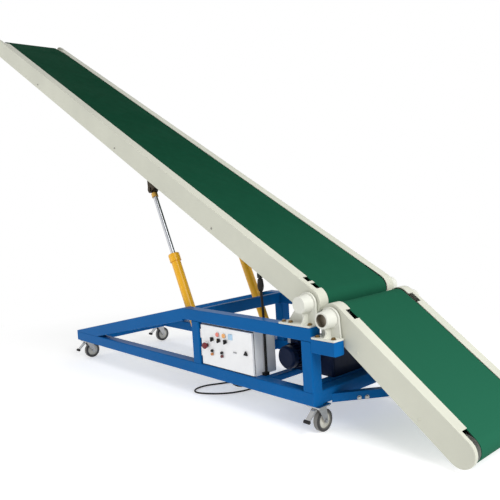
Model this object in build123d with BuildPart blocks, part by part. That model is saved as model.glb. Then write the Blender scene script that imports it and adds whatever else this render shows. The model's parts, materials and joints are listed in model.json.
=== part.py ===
"""Mobile bag loading conveyor, parked as in use.

A wheeled tube chassis carries a long rising belt boom, raised by two hydraulic
cylinders, and a short infeed belt that slopes down to the floor.
X runs along the machine toward the infeed, Y across it (minus Y is the side with
the control box), Z up.  The origin is on the floor under the middle of the machine.
"""

import math
import os

from build123d import *

# Chassis
end_x = 1784.0  # right face of the right posts
tube = 80.0  # square tube of the chassis
tube_corner = 8.0
chassis_length = 2915.0
chassis_width = 884.0
rail_bottom = 165.0  # underside of the bottom rails, which is the height of the casters
top_rail_top = 617.0
top_rail_length = 1230.0
left_post_inset = 103.0  # left posts, in from the left end of the top rails
slope_depth = 90.0  # depth of the sloping rails, square to their run
slope_nose = 10.0  # height of the blunt lower end of a sloping rail
top_cross_width = 40.0
left_cross_inset = 130.0  # left crossbar, in from the chassis end
infeed_rail_top = 557.0
infeed_rail_length = 169.0
tow_bottom = 155.0
tow_height = 50.0
tow_root = 290.0  # outside of the tow arms at the chassis, from the middle plane
tow_reach = 202.0  # where the outsides of the two arms would meet, from the chassis end
tow_arm = 40.0
tow_nose = 50.0

# Belts and their frames
web_face = 352.0  # outer face of each side panel, from the middle plane
sheet = 4.0
fold_round = 5.0  # outside radius of the folds along the side panels
flange = 72.0
end_lip = 24.0  # folds at the far ends of the belts
slot_lip = 32.0  # folds beside the slots near the pivots
belt_width = 552.0
belt_thickness = 4.0
bed_thickness = 3.0
drum_gap = 0.3  # between a drum and the inside of its belt
head_shaft = 15.0
crossbar = 40.0  # square bars between the side panels

boom_angle = 28.6
boom_length = 4955.0  # between the two drum axes
boom_pivot_left = 82.0  # from the right end of the chassis
boom_pivot_rise = 122.0  # above the top rails
boom_above = 88.0  # top of the side panels above the pivot line
boom_below = 74.0
boom_belt_top = 84.0
boom_tail_radius = 80.0  # belt outside at the lower drum
boom_head_radius = 60.0
boom_head_rise = 12.0
boom_slots = [(8.0, 64.0), (84.0, 131.0)]  # slots in the flanges, from the pivot
boom_flange_stop = 110.0
boom_ramp = 230.0
boom_bar_shares = [0.093, 0.198, 0.470, 0.783]  # crossbars, as shares of the boom's length

infeed_angle = 37.1
infeed_length = 940.0
infeed_pivot_right = 84.0
infeed_pivot_rise = 111.0  # above the infeed rails
infeed_above = 84.0
infeed_below = 75.0
infeed_belt_top = 80.0
infeed_drum_radius = 74.0
infeed_slots = [(30.0, 105.0)]
infeed_flange_stop = 60.0
infeed_ramp = 160.0
infeed_bar_shares = [0.255, 0.745]

# Pivot blocks
block_foot = 10.0
block_plate = 12.0
block_gap = 6.0  # between a side panel and the upright plate of its block
block_rib = 10.0
arch_radius = 64.0
boss_root = 54.0
boss_tip = 47.0
boss_face = 440.0  # outer end of the bosses, from the middle plane
boss_cap = 12.0  # closed end of the boom's bosses
pivot_radius = 29.95
pivot_gap = 0.05
pivot_end = 398.0
recess_radius = 37.0  # open ends of the infeed's bosses
recess_depth = 40.0
boom_block_left = 168.0  # foot plates, left and right of the pivots
boom_block_right = 76.0
infeed_block_left = 80.0
infeed_block_right = 85.0
upright_inset = 14.0  # arched plate, in from the ends of its foot

# Lift cylinders
cylinder_y = 320.0
lower_pin_reach = 38.0  # left of the left posts
lower_pin_rise = 62.0  # above the bottom rails
eye_share = 0.3522  # rod eye along the boom, as a share of its length
eye_drop = 122.0  # rod eye below the pivot line, square to the boom
barrel_radius = 35.0
barrel_bore = 30.0
barrel_chamfer = 5.0
gland_radius = 42.0
gland_length = 60.0
groove_length = 9.0
groove_depth = 2.0
rod_radius = 17.5
rod_gap = 0.05
barrel_share = 0.5804  # lower pin to the top of the gland, as a share of pin to eye
eye_radius = 28.0
eye_width = 32.0
collar_radius = 24.0
collar_length = 66.0  # brass collar of the rod eye, from the eye's middle
pin_radius = 15.0
pin_gap = 0.05
pin_head = 6.0
lug_plate = 10.0
lower_lug_half = 31.0  # half length of the lugs at their feet
boom_lug_half = 56.0
lug_gap = 3.0
lug_clearance = 6.0
piston_length = 40.0
piston_gap = 0.05
rod_inside = 270.0  # rod length below the gland top at the photographed lift
port_radius = 11.0
port_rise = 80.0
port_reach = 12.0

# Control box
case_gap = 7.0  # right of the left posts
case_length = 530.0
case_height = 284.0
case_depth = 176.0
case_inset = 30.0  # in from the outside of the bottom rail that it stands on
case_wall = 2.0
door_thickness = 16.0
door_gap = 6.0
door_edge = 6.0  # door in from the case's top and bottom
door_round = 4.0
hinge_radius = 5.0
hinge_reach = 6.0
hinge_height = 40.0
hinge_low = 60.0  # lower hinge above the case's bottom
hinge_high = 184.0
knuckle = 20.0

# Hydraulic power unit
tank_gap = 20.0  # left of the right posts
tank_length = 380.0
tank_near = 150.0
tank_far = 240.0
tank_height = 160.0
tank_round = 16.0
lid_height = 6.0
lid_overhang = 8.0
filler_radius = 24.0
filler_height = 30.0
bearer_width = 60.0
bearer_height = 40.0
motor_inset = 135.0  # motor axis from the tank's left end
motor_rise = 122.0  # motor axis above the tank's bottom
motor_radius = 72.0
motor_core = 60.0
motor_neck = 36.0
motor_length = 160.0
fan_cover_length = 46.0
fan_cover_chamfer = 12.0
fin_count = 20
fin_thickness = 4.0
terminal_size = 64.0
terminal_height = 28.0
terminal_gap = 12.0
manifold_length = 190.0
manifold_depth = 56.0
manifold_height = 44.0
valve_pitch = 56.0
valve_radius = 15.0
valve_reach = 40.0

# Casters
caster_plate_x = 100.0
caster_plate_y = 110.0
caster_plate_height = 6.0
wheel_radius = 66.0
wheel_width = 38.0
tyre_depth = 12.0
tyre_taper = 5.0  # each side leans in from the hub to the tread
hub_recess = 7.0
hub_rim = 8.0
hub_boss = 17.0
caster_trail = 28.0
caster_side_inset = 62.0  # swivel axis in from the outside of the rails
left_caster_inset = 80.0
right_caster_inset = 22.0
race_height = 6.0
race_radius = 30.0
race_gap = 1.0
fork_sheet = 4.0
fork_gap = 5.0
fork_half = 34.0  # half length of the fork's crown
fork_round = 5.0
fork_end_radius = 15.0
king_radius = 9.0
king_gap = 0.05
king_length = 18.0
axle_radius = 6.0
axle_gap = 0.05
nut_radius = 11.0
nut_height = 6.0
pedal_width = 34.0
pedal_sheet = 5.0
pedal_reach = 104.0
pedal_drop = 62.0
pad_radius = 9.0

# Cables
cable_radius = 6.0
lead_radius = 6.0
cord_gap = 0.3  # between a cable's end and a piece that moves away from it
floor_gap = 0.2
clip_size = 26.0
clip_drop = 28.0
clip_left = 505.0  # boom cable's clip, from the right end of the chassis
cable_y = 335.0
base_gland_left = 497.0
base_gland_rise = 15.0
base_gland_height = 30.0
lead_gland_radius = 12.0
lead_gland_height = 16.0
lead_gland_inset = 40.0  # from the case's left side
lead_gland_y = 290.0
coil_left = 1230.0
coil_y = 60.0
coil_outer = 115.0
coil_inner = 78.0
coil_height = 24.0
plug_length = 110.0
plug_radius = 24.0
plug_neck = 11.0
plug_neck_length = 30.0

os.makedirs("parts", exist_ok=True)

rail_top = rail_bottom + tube
top_rail_bottom = top_rail_top - tube
left_x = end_x - chassis_length
side_y = chassis_width / 2 - tube / 2
inner_y = chassis_width / 2 - tube
top_rail_left = end_x - top_rail_length
left_post_x = top_rail_left + left_post_inset + tube / 2
right_post_x = end_x - tube / 2
sides = [-1, 1]

boom_pivot_x = end_x - boom_pivot_left
boom_pivot_z = top_rail_top + boom_pivot_rise
infeed_pivot_x = end_x + infeed_pivot_right
infeed_pivot_z = infeed_rail_top + infeed_pivot_rise
boom_plane = Plane(
    origin=(boom_pivot_x, 0, boom_pivot_z),
    x_dir=(-math.cos(math.radians(boom_angle)), 0, math.sin(math.radians(boom_angle))),
    z_dir=(0, 1, 0),
)
infeed_plane = Plane(
    origin=(infeed_pivot_x, 0, infeed_pivot_z),
    x_dir=(math.cos(math.radians(infeed_angle)), 0, -math.sin(math.radians(infeed_angle))),
    z_dir=(0, -1, 0),
)

# Bottom rails: two square tubes with rounded corners along the machine
with BuildPart() as base_rails:
    with BuildSketch(Plane.YZ.offset(left_x)):
        for side in sides:
            with Locations((side * side_y, rail_bottom + tube / 2)):
                RectangleRounded(tube, tube, tube_corner)
    extrude(amount=chassis_length)
base_rails.part.label = "base_rails"
export_step(base_rails.part, "parts/base_rails.step")

# Bottom crossbars: left end, under the cylinders, right end, and two flat bearers of the tank
lower_pin_x = left_post_x - tube / 2 - lower_pin_reach
tank_right_x = end_x - tube - tank_gap
tank_left_x = tank_right_x - tank_length
with BuildPart() as base_crossbars:
    with BuildSketch(Plane.XZ):
        for bar_x in [left_x + left_cross_inset + tube / 2, lower_pin_x, right_post_x]:
            with Locations((bar_x, rail_bottom + tube / 2)):
                RectangleRounded(tube, tube, tube_corner)
        for bar_x in [tank_left_x + bearer_width / 2, tank_right_x - bearer_width / 2]:
            with Locations((bar_x, rail_top - bearer_height / 2)):
                RectangleRounded(bearer_width, bearer_height, tube_corner)
    extrude(amount=inner_y, both=True)
base_crossbars.part.label = "base_crossbars"
export_step(base_crossbars.part, "parts/base_crossbars.step")

# Posts between the bottom rails and the top rails
with BuildPart() as posts:
    with BuildSketch(Plane.XY.offset(rail_top)):
        for side in sides:
            for post_x in [left_post_x, right_post_x]:
                with Locations((post_x, side * side_y)):
                    RectangleRounded(tube, tube, tube_corner)
    extrude(amount=top_rail_bottom - rail_top)
posts.part.label = "posts"
export_step(posts.part, "parts/posts.step")

# Top rails
with BuildPart() as top_rails:
    with BuildSketch(Plane.YZ.offset(top_rail_left)):
        for side in sides:
            with Locations((side * side_y, top_rail_top - tube / 2)):
                RectangleRounded(tube, tube, tube_corner)
    extrude(amount=top_rail_length)
top_rails.part.label = "top_rails"
export_step(top_rails.part, "parts/top_rails.step")

# Crossbar between the left posts' heads
with BuildPart() as top_crossbar:
    with BuildSketch(Plane.XZ):
        with Locations((left_post_x, top_rail_top - tube / 2)):
            RectangleRounded(top_cross_width, tube, tube_corner)
    extrude(amount=inner_y, both=True)
top_crossbar.part.label = "top_crossbar"
export_step(top_crossbar.part, "parts/top_crossbar.step")

# Sloping rails from the left end of the bottom rails up to the top rails, cut to fit both
slope_run = chassis_length - top_rail_length
slope_rise = top_rail_top - rail_top - slope_nose
slope_angle = math.atan2(slope_rise, slope_run)
slope_plane = Plane(
    origin=(top_rail_left, 0, top_rail_top),
    x_dir=(0, 1, 0),
    z_dir=(-math.cos(slope_angle), 0, -math.sin(slope_angle)),
)
with BuildPart() as sloping_rails:
    with BuildSketch(slope_plane):
        for side in sides:
            with Locations((side * side_y, slope_depth / 2)):
                RectangleRounded(tube, slope_depth, tube_corner)
    extrude(amount=slope_run / math.cos(slope_angle) + slope_depth, both=True)
    split(bisect_by=Plane.XY.offset(rail_top), keep=Keep.TOP)
    split(bisect_by=Plane.YZ.offset(top_rail_left), keep=Keep.BOTTOM)
    split(bisect_by=Plane.YZ.offset(left_x), keep=Keep.TOP)
sloping_rails.part.label = "sloping_rails"
export_step(sloping_rails.part, "parts/sloping_rails.step")

# Short rails that reach past the right posts and carry the infeed
with BuildPart() as infeed_rails:
    with BuildSketch(Plane.YZ.offset(end_x)):
        for side in sides:
            with Locations((side * side_y, infeed_rail_top - tube / 2)):
                RectangleRounded(tube, tube, tube_corner)
    extrude(amount=infeed_rail_length)
infeed_rails.part.label = "infeed_rails"
export_step(infeed_rails.part, "parts/infeed_rails.step")

# Tow frame: two arms welded to the right crossbar that meet in a round nose
tow_slant = (tow_root ** 2 + tow_reach ** 2) ** 0.5
tow_inside = 1 - tow_arm * tow_slant / (tow_root * tow_reach)  # inner edges against the outer ones
with BuildPart() as tow_frame:
    with BuildSketch(Plane.XY.offset(tow_bottom)) as tow_plan:
        with BuildLine():
            Polyline(
                (end_x, -tow_root),
                (end_x + tow_reach, 0),
                (end_x, tow_root),
                (end_x, tow_inside * tow_root),
                (end_x + tow_inside * tow_reach, 0),
                (end_x, -tow_inside * tow_root),
                close=True,
            )
        make_face()
        fillet(tow_plan.vertices().sort_by(Axis.X)[-1], tow_nose)
    extrude(amount=tow_height)
tow_frame.part.label = "tow_frame"
export_step(tow_frame.part, "parts/tow_frame.step")

# Pivot blocks: cast foot, arched upright that flares to the foot, tapered boss, and a curved rib
upright_inner = web_face + block_gap
upright_outer = upright_inner + block_plate
foot_outer = chassis_width / 2
boss_length = boss_face - upright_outer
block_rows = [
    # name, pivot x, pivot z, seat, foot left and right of the pivot, bore's end short of the boss, open end
    ("boom_blocks", boom_pivot_x, boom_pivot_z, top_rail_top, boom_block_left, boom_block_right, boss_cap, False),
    ("infeed_blocks", infeed_pivot_x, infeed_pivot_z, infeed_rail_top,
     infeed_block_left, infeed_block_right, recess_depth, True),
]
for name, pivot_x, pivot_z, seat, foot_left, foot_right, closed, open_end in block_rows:
    foot_top = seat + block_foot
    upright_left = foot_left - upright_inset
    upright_right = foot_right - upright_inset
    with BuildPart() as blocks:
        for side in sides:
            with Locations((pivot_x + (foot_right - foot_left) / 2,
                            side * (upright_inner + foot_outer) / 2, seat + block_foot / 2)):
                Box(foot_left + foot_right, foot_outer - upright_inner, block_foot)
            with BuildSketch(Plane.XZ.offset(-side * (upright_inner + block_plate / 2))):
                with Locations((pivot_x, pivot_z)):
                    Circle(arch_radius)
                with BuildLine():
                    Polyline(
                        (pivot_x - arch_radius, pivot_z),
                        (pivot_x - upright_left, foot_top),
                        (pivot_x + upright_right, foot_top),
                        (pivot_x + arch_radius, pivot_z),
                        close=True,
                    )
                make_face()
            extrude(amount=block_plate / 2, both=True)
            with BuildSketch(Plane(origin=(pivot_x, 0, 0), x_dir=(0, side, 0), z_dir=(side, 0, 0))):
                with BuildLine():
                    rib_top = pivot_z - boss_tip + block_rib / 2
                    rib_foot = Line((upright_outer, foot_top), (foot_outer - block_rib, foot_top))
                    rib_edge = ThreePointArc(
                        rib_foot @ 1,
                        ((upright_outer + foot_outer) / 2, (foot_top + rib_top) / 2),
                        (boss_face - block_rib, rib_top),
                    )
                    rib_head = Line(rib_edge @ 1, (upright_outer, rib_top))
                    Line(rib_head @ 1, (upright_outer, foot_top))
                make_face()
            extrude(amount=block_rib / 2, both=True)
            with Locations(Plane(origin=(pivot_x, side * upright_outer, pivot_z), z_dir=(0, side, 0))):
                Cone(boss_root, boss_tip, boss_length, align=(Align.CENTER, Align.CENTER, Align.MIN))
            bore_end = boss_face - closed
            with BuildSketch(Plane.XZ.offset(-side * (upright_inner + bore_end) / 2)):
                with Locations((pivot_x, pivot_z)):
                    Circle(pivot_radius + pivot_gap)
            extrude(amount=(bore_end - upright_inner) / 2, both=True, mode=Mode.SUBTRACT)
            if open_end:
                with BuildSketch(Plane.XZ.offset(-side * (boss_face - recess_depth / 2))):
                    with Locations((pivot_x, pivot_z)):
                        Circle(recess_radius)
                extrude(amount=recess_depth / 2, both=True, mode=Mode.SUBTRACT)
    blocks.part.label = name
    export_step(blocks.part, f"parts/{name}.step")

# Side panels of both belts: sheet folded inward all round, slotted near the pivot, narrow at the far end
panel_rows = [
    # name, plane, outward sign of the plane's normal, length, above, below, slots, flange stop
    ("boom_side_panels", boom_plane, 1, boom_length, boom_above, boom_below, boom_slots, boom_flange_stop),
    ("infeed_side_panels", infeed_plane, -1, infeed_length, infeed_above, infeed_below,
     infeed_slots, infeed_flange_stop),
]
for name, plane, normal, length, above, below, slots, flange_stop in panel_rows:
    middle = (above - below) / 2
    half = (above + below) / 2
    with BuildPart() as panels:
        for side in sides:
            with BuildSketch(plane.offset(side * web_face)):
                with Locations((length / 2, middle)):
                    SlotCenterToCenter(length, 2 * half)
            extrude(amount=-side * flange)
            face_y = side * normal * web_face
            fillet(panels.edges().filter_by_position(Axis.Y, face_y - 0.1, face_y + 0.1), fold_round)
            with BuildSketch(plane.offset(side * (web_face - sheet))):
                with Locations((length / 2, middle)):
                    SlotCenterToCenter(length, 2 * (half - sheet))
            extrude(amount=-side * flange, mode=Mode.SUBTRACT)
            with BuildSketch(plane.offset(side * (web_face - end_lip))):
                with Locations((1.5 * length - flange_stop, middle)):
                    Rectangle(length, 3 * half)
            extrude(amount=-side * flange, mode=Mode.SUBTRACT)
            with BuildSketch(plane.offset(side * (web_face - slot_lip))):
                for slot_start, slot_stop in slots:
                    with Locations(((slot_start + slot_stop) / 2, above)):
                        Rectangle(slot_stop - slot_start, 2 * half / 3)
            extrude(amount=-side * flange, mode=Mode.SUBTRACT)
            with BuildSketch(plane.offset(side * web_face)):
                Circle(pivot_radius)
            extrude(amount=-side * flange, mode=Mode.SUBTRACT)
    panels.part.label = name
    export_step(panels.part, f"parts/{name}.step")

# Belts: closed loops round their two drums, with a short ramp up to the slider bed
belt_rows = [
    # name, plane, length, top, tail radius, head radius, head rise, ramp, crossbar shares
    ("boom", boom_plane, boom_length, boom_belt_top, boom_tail_radius, boom_head_radius,
     boom_head_rise, boom_ramp, boom_bar_shares),
    ("infeed", infeed_plane, infeed_length, infeed_belt_top, infeed_drum_radius,
     infeed_drum_radius, 0, infeed_ramp, infeed_bar_shares),
]
for name, plane, length, top, tail, head, rise, ramp, bar_shares in belt_rows:
    with BuildPart() as belt:
        with BuildSketch(plane):
            for inset, use in [(0, Mode.ADD), (belt_thickness, Mode.SUBTRACT)]:
                with BuildLine():
                    start = Line((0, tail - inset), (ramp, top - inset))
                    run = Line(start @ 1, (length - ramp, top - inset))
                    drop = Line(run @ 1, (length, rise + head - inset))
                    nose = ThreePointArc(
                        drop @ 1, (length + head - inset, rise), (length, rise - head + inset)
                    )
                    back = Line(nose @ 1, (0, inset - tail))
                    ThreePointArc(back @ 1, (inset - tail, 0), (0, tail - inset))
                make_face(mode=use)
        extrude(amount=belt_width / 2, both=True)
    belt.part.label = f"{name}_belt"
    export_step(belt.part, f"parts/{name}_belt.step")

    # Slider bed under the carrying run
    with BuildPart() as bed:
        with BuildSketch(plane):
            with Locations((length / 2, top - belt_thickness - bed_thickness / 2)):
                Rectangle(length - 2 * ramp, bed_thickness)
        extrude(amount=belt_width / 2, both=True)
    bed.part.label = f"{name}_bed"
    export_step(bed.part, f"parts/{name}_bed.step")

    # Drums: the tail drum's shaft ends are the pivots, the head drum sits between the panels
    with BuildPart() as drums:
        with BuildSketch(plane):
            Circle(tail - belt_thickness - drum_gap)
            with Locations((length, rise)):
                Circle(head - belt_thickness - drum_gap)
        extrude(amount=belt_width / 2, both=True)
        with BuildSketch(plane):
            Circle(pivot_radius)
        extrude(amount=pivot_end, both=True)
        with BuildSketch(plane):
            with Locations((length, rise)):
                Circle(head_shaft)
        extrude(amount=web_face - sheet, both=True)
    drums.part.label = f"{name}_drums"
    export_step(drums.part, f"parts/{name}_drums.step")

    # Crossbars that tie the side panels together under the bed
    with BuildPart() as crossbars:
        with BuildSketch(plane):
            for share in bar_shares:
                with Locations((share * length, top - belt_thickness - bed_thickness - crossbar / 2)):
                    RectangleRounded(crossbar, crossbar, tube_corner / 2)
        extrude(amount=web_face - sheet, both=True)
    crossbars.part.label = f"{name}_crossbars"
    export_step(crossbars.part, f"parts/{name}_crossbars.step")

# Lugs of the lift cylinders: with pins on the chassis, and with pin heads under the boom
lower_pin_z = rail_top + lower_pin_rise
lower_pin = Vector(lower_pin_x, 0, lower_pin_z)
eye_station = eye_share * boom_length
eye_point = boom_plane.from_local_coords(Vector(eye_station, -eye_drop, 0))
stroke_line = eye_point - lower_pin
pin_distance = stroke_line.length
stroke_direction = stroke_line.normalized()
barrel_length = barrel_share * pin_distance
lug_inner = eye_width / 2 + lug_gap
lug_offset = lug_inner + lug_plate / 2
barrel_start = eye_radius + lug_clearance
with BuildPart() as lower_lugs:
    for side in sides:
        for step in sides:
            with BuildSketch(Plane.XZ.offset(-side * cylinder_y + step * lug_offset)):
                with Locations((lower_pin_x, lower_pin_z)):
                    Circle(eye_radius)
                with BuildLine():
                    Polyline(
                        (lower_pin_x - eye_radius, lower_pin_z),
                        (lower_pin_x - lower_lug_half, rail_top),
                        (lower_pin_x + lower_lug_half, rail_top),
                        (lower_pin_x + eye_radius, lower_pin_z),
                        close=True,
                    )
                make_face()
            extrude(amount=lug_plate / 2, both=True)
        with BuildSketch(Plane.XZ.offset(-side * cylinder_y)):
            with Locations((lower_pin_x, lower_pin_z)):
                Circle(pin_radius)
        extrude(amount=lug_inner + lug_plate + pin_head, both=True)
lower_lugs.part.label = "lower_lugs"
export_step(lower_lugs.part, "parts/lower_lugs.step")

with BuildPart() as boom_lugs:
    for side in sides:
        for step in sides:
            with BuildSketch(boom_plane.offset(side * cylinder_y + step * lug_offset)):
                with Locations((eye_station, -eye_drop)):
                    Circle(eye_radius)
                with BuildLine():
                    Polyline(
                        (eye_station - eye_radius, -eye_drop),
                        (eye_station - boom_lug_half, -boom_below),
                        (eye_station + boom_lug_half, -boom_below),
                        (eye_station + eye_radius, -eye_drop),
                        close=True,
                    )
                make_face()
            extrude(amount=lug_plate / 2, both=True)
            head_offset = lug_inner + lug_plate + pin_head / 2
            with BuildSketch(boom_plane.offset(side * cylinder_y + step * head_offset)):
                with Locations((eye_station, -eye_drop)):
                    Circle(pin_radius)
            extrude(amount=pin_head / 2, both=True)
boom_lugs.part.label = "boom_lugs"
export_step(boom_lugs.part, "parts/boom_lugs.step")

# Barrels turned with a chamfered foot, a groove and a gland, and rods with collared eyes
groove_top = barrel_length - gland_length
for label, side in [("near", -1), ("far", 1)]:
    foot = Vector(lower_pin_x, side * cylinder_y, lower_pin_z)
    turning_plane = Plane(origin=foot, x_dir=(0, 1, 0), z_dir=(stroke_direction.Z, 0, -stroke_direction.X))
    axis_plane = Plane(origin=foot, x_dir=(0, 1, 0), z_dir=stroke_direction)
    with BuildPart() as barrel:
        with BuildSketch(turning_plane):
            with BuildLine():
                Polyline(
                    (0, barrel_start),
                    (barrel_radius - barrel_chamfer, barrel_start),
                    (barrel_radius, barrel_start + barrel_chamfer),
                    (barrel_radius, groove_top - groove_length),
                    (barrel_radius - groove_depth, groove_top - groove_length),
                    (barrel_radius - groove_depth, groove_top),
                    (gland_radius, groove_top),
                    (gland_radius, barrel_length - barrel_chamfer),
                    (gland_radius - barrel_chamfer, barrel_length),
                    (0, barrel_length),
                    close=True,
                )
            make_face()
        revolve(axis=Axis(foot, stroke_direction))
        with BuildSketch(axis_plane):
            Circle(eye_width / 2)
        extrude(amount=barrel_start)
        port_foot = foot + stroke_direction * port_rise
        with BuildSketch(Plane(origin=port_foot, x_dir=(0, 1, 0), z_dir=turning_plane.z_dir)):
            Circle(port_radius)
        extrude(amount=barrel_radius + port_reach)
        with BuildSketch(Plane.XZ.offset(-side * cylinder_y)):
            with Locations((lower_pin_x, lower_pin_z)):
                Circle(eye_radius)
        extrude(amount=eye_width / 2, both=True)
        with BuildSketch(Plane.XZ.offset(-side * cylinder_y)):
            with Locations((lower_pin_x, lower_pin_z)):
                Circle(pin_radius + pin_gap)
        extrude(amount=eye_width, both=True, mode=Mode.SUBTRACT)
        with BuildSketch(axis_plane.offset(2 * eye_radius)):
            Circle(barrel_bore)
        extrude(amount=groove_top - 2 * eye_radius, mode=Mode.SUBTRACT)
        with BuildSketch(axis_plane.offset(2 * eye_radius)):
            Circle(rod_radius + rod_gap)
        extrude(amount=barrel_length, mode=Mode.SUBTRACT)
    barrel.part.label = f"barrel_{label}"
    export_step(barrel.part, f"parts/barrel_{label}.step")

    with BuildPart() as rod:
        with BuildSketch(axis_plane.offset(barrel_length - rod_inside)):
            Circle(rod_radius)
        extrude(amount=pin_distance - barrel_length + rod_inside)
        with BuildSketch(axis_plane.offset(barrel_length - rod_inside)):
            Circle(barrel_bore - piston_gap)
        extrude(amount=piston_length)
        with BuildSketch(axis_plane.offset(pin_distance - collar_length)):
            Circle(collar_radius)
        extrude(amount=collar_length - eye_radius - lug_clearance)
        with BuildSketch(boom_plane.offset(side * cylinder_y)):
            with Locations((eye_station, -eye_drop)):
                Circle(eye_radius)
        extrude(amount=eye_width / 2, both=True)
    rod.part.label = f"rod_{label}"
    export_step(rod.part, f"parts/rod_{label}.step")

# Control box: open case on the near bottom rail, with hinge barrels, and its door
case_front = chassis_width / 2 - case_inset
case_left_x = left_post_x + tube / 2 + case_gap
case_x = case_left_x + case_length / 2
case_y = -(case_front - case_depth / 2)
case_z = rail_top + case_height / 2
door_bottom = rail_top + door_edge
door_top = rail_top + case_height - door_edge
door_outer = case_front + door_gap + door_thickness
hinge_x = case_left_x + hinge_radius
hinge_y = -(door_outer - hinge_radius)
hinge_arm = -hinge_y - case_front
door_left = hinge_x + hinge_reach
door_right = case_left_x + case_length
hinge_bottoms = [rail_top + hinge_low, rail_top + hinge_high]
with BuildPart() as control_case:
    with Locations((case_x, case_y, case_z)):
        Box(case_length, case_depth, case_height)
    back_edges = control_case.edges().filter_by_position(Axis.Y, case_y + case_depth / 2 - 0.1, 0)
    fillet(back_edges, door_round)
    with Locations((case_x, case_y - case_wall, case_z)):
        Box(case_length - 2 * case_wall, case_depth, case_height - 2 * case_wall, mode=Mode.SUBTRACT)
    for hinge_bottom in hinge_bottoms:
        with Locations((hinge_x, hinge_y, hinge_bottom + hinge_height / 2)):
            Cylinder(hinge_radius, hinge_height)
        with Locations((hinge_x - hinge_radius / 2, hinge_y + hinge_arm / 2, hinge_bottom + hinge_height / 2)):
            Box(hinge_radius, hinge_arm, hinge_height)
control_case.part.label = "control_case"
export_step(control_case.part, "parts/control_case.step")

with BuildPart() as control_door:
    with Locations(((door_left + door_right) / 2, -(door_outer - door_thickness / 2), (door_bottom + door_top) / 2)):
        Box(door_right - door_left, door_thickness, door_top - door_bottom)
    fillet(control_door.edges().filter_by_position(Axis.Y, -door_outer - 0.1, -door_outer + 0.1), door_round)
    for hinge_bottom in hinge_bottoms:
        knuckle_z = hinge_bottom + hinge_height + knuckle / 2
        with Locations((hinge_x, hinge_y, knuckle_z)):
            Cylinder(hinge_radius, knuckle)
        with Locations((hinge_x + hinge_reach, hinge_y, knuckle_z)):
            Box(2 * hinge_reach, hinge_radius, knuckle)
control_door.part.label = "control_door"
export_step(control_door.part, "parts/control_door.step")

# Controls on the door: stop button, lamps, knobs, push buttons, key plate and latch
control_layers = {
    # kind: layers as radius, from, to, measured out from the door
    "stop": [(19, 0, 6), (12, 6, 18), (20, 18, 34)],
    "lamp": [(13, 0, 4), (10, 4, 13)],
    "knob": [(14, 0, 4), (12, 4, 11)],
    "button": [(14, 0, 5), (10, 5, 16)],
}
control_chamfers = {"stop": 6, "lamp": 4, "knob": 2, "button": 2}
control_rows = [
    # kind, from the door's left edge, above its bottom
    ("stop", 62, 136),
    ("lamp", 184, 223),
    ("lamp", 250, 223),
    ("knob", 127, 186),
    ("knob", 196, 186),
    ("knob", 265, 186),
    ("button", 121, 95),
    ("button", 224, 95),
]
grip_width = 7.0
grip_length = 22.0
grip_end = 22.0
square_lamp_place = (316, 223)
square_lamp_size = 25.0
square_lamp_reach = 9.0
key_plate_place = (352, 126)
key_plate_size = (32, 9)
key_plate_reach = 3.0
latch_place = (462, 134)
latch_radius = 19.0
latch_reach = 14.0
with BuildPart() as door_controls:
    for kind, along, up in control_rows:
        for radius, layer_start, layer_end in control_layers[kind]:
            with BuildSketch(Plane.XZ.offset(door_outer + layer_start)):
                with Locations((door_left + along, door_bottom + up)):
                    Circle(radius)
            extrude(amount=layer_end - layer_start)
    for kind, layers in control_layers.items():
        front_y = -(door_outer + layers[-1][2])
        front_edges = door_controls.edges().filter_by_position(Axis.Y, front_y - 0.1, front_y + 0.1)
        chamfer(front_edges, control_chamfers[kind])
    with BuildSketch(Plane.XZ.offset(door_outer)):
        for kind, along, up in control_rows:
            if kind == "knob":
                with Locations((door_left + along, door_bottom + up)):
                    RectangleRounded(grip_width, grip_length, grip_width / 3)
    extrude(amount=grip_end)
    with BuildSketch(Plane.XZ.offset(door_outer)):
        with Locations((door_left + square_lamp_place[0], door_bottom + square_lamp_place[1])):
            RectangleRounded(square_lamp_size, square_lamp_size, door_round)
    extrude(amount=square_lamp_reach)
    with BuildSketch(Plane.XZ.offset(door_outer)):
        with Locations((door_left + key_plate_place[0], door_bottom + key_plate_place[1])):
            RectangleRounded(*key_plate_size, door_round)
    extrude(amount=key_plate_reach)
    with BuildSketch(Plane.XZ.offset(door_outer)) as latch_face:
        with Locations((door_left + latch_place[0], door_bottom + latch_place[1])):
            RegularPolygon(latch_radius, 3)
        fillet(latch_face.vertices(), door_round)
    extrude(amount=latch_reach)
door_controls.part.label = "door_controls"
export_step(door_controls.part, "parts/door_controls.step")

# Hydraulic power unit: tank with lid and filler on its bearers
tank_x = (tank_left_x + tank_right_x) / 2
tank_y = (tank_far - tank_near) / 2
tank_width = tank_far + tank_near
lid_top = rail_top + tank_height + lid_height
with BuildPart() as tank:
    with BuildSketch(Plane.XY.offset(rail_top)):
        with Locations((tank_x, tank_y)):
            RectangleRounded(tank_length - 2 * lid_overhang, tank_width - 2 * lid_overhang, tank_round)
    extrude(amount=tank_height)
    with BuildSketch(Plane.XY.offset(rail_top + tank_height)):
        with Locations((tank_x, tank_y)):
            RectangleRounded(tank_length, tank_width, tank_round)
    extrude(amount=lid_height)
    with BuildSketch(Plane.XY.offset(lid_top)):
        with Locations((tank_right_x - 3 * filler_radius, tank_far - 3 * filler_radius)):
            Circle(filler_radius)
    extrude(amount=filler_height)
tank.part.label = "tank"
export_step(tank.part, "parts/tank.step")

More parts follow.
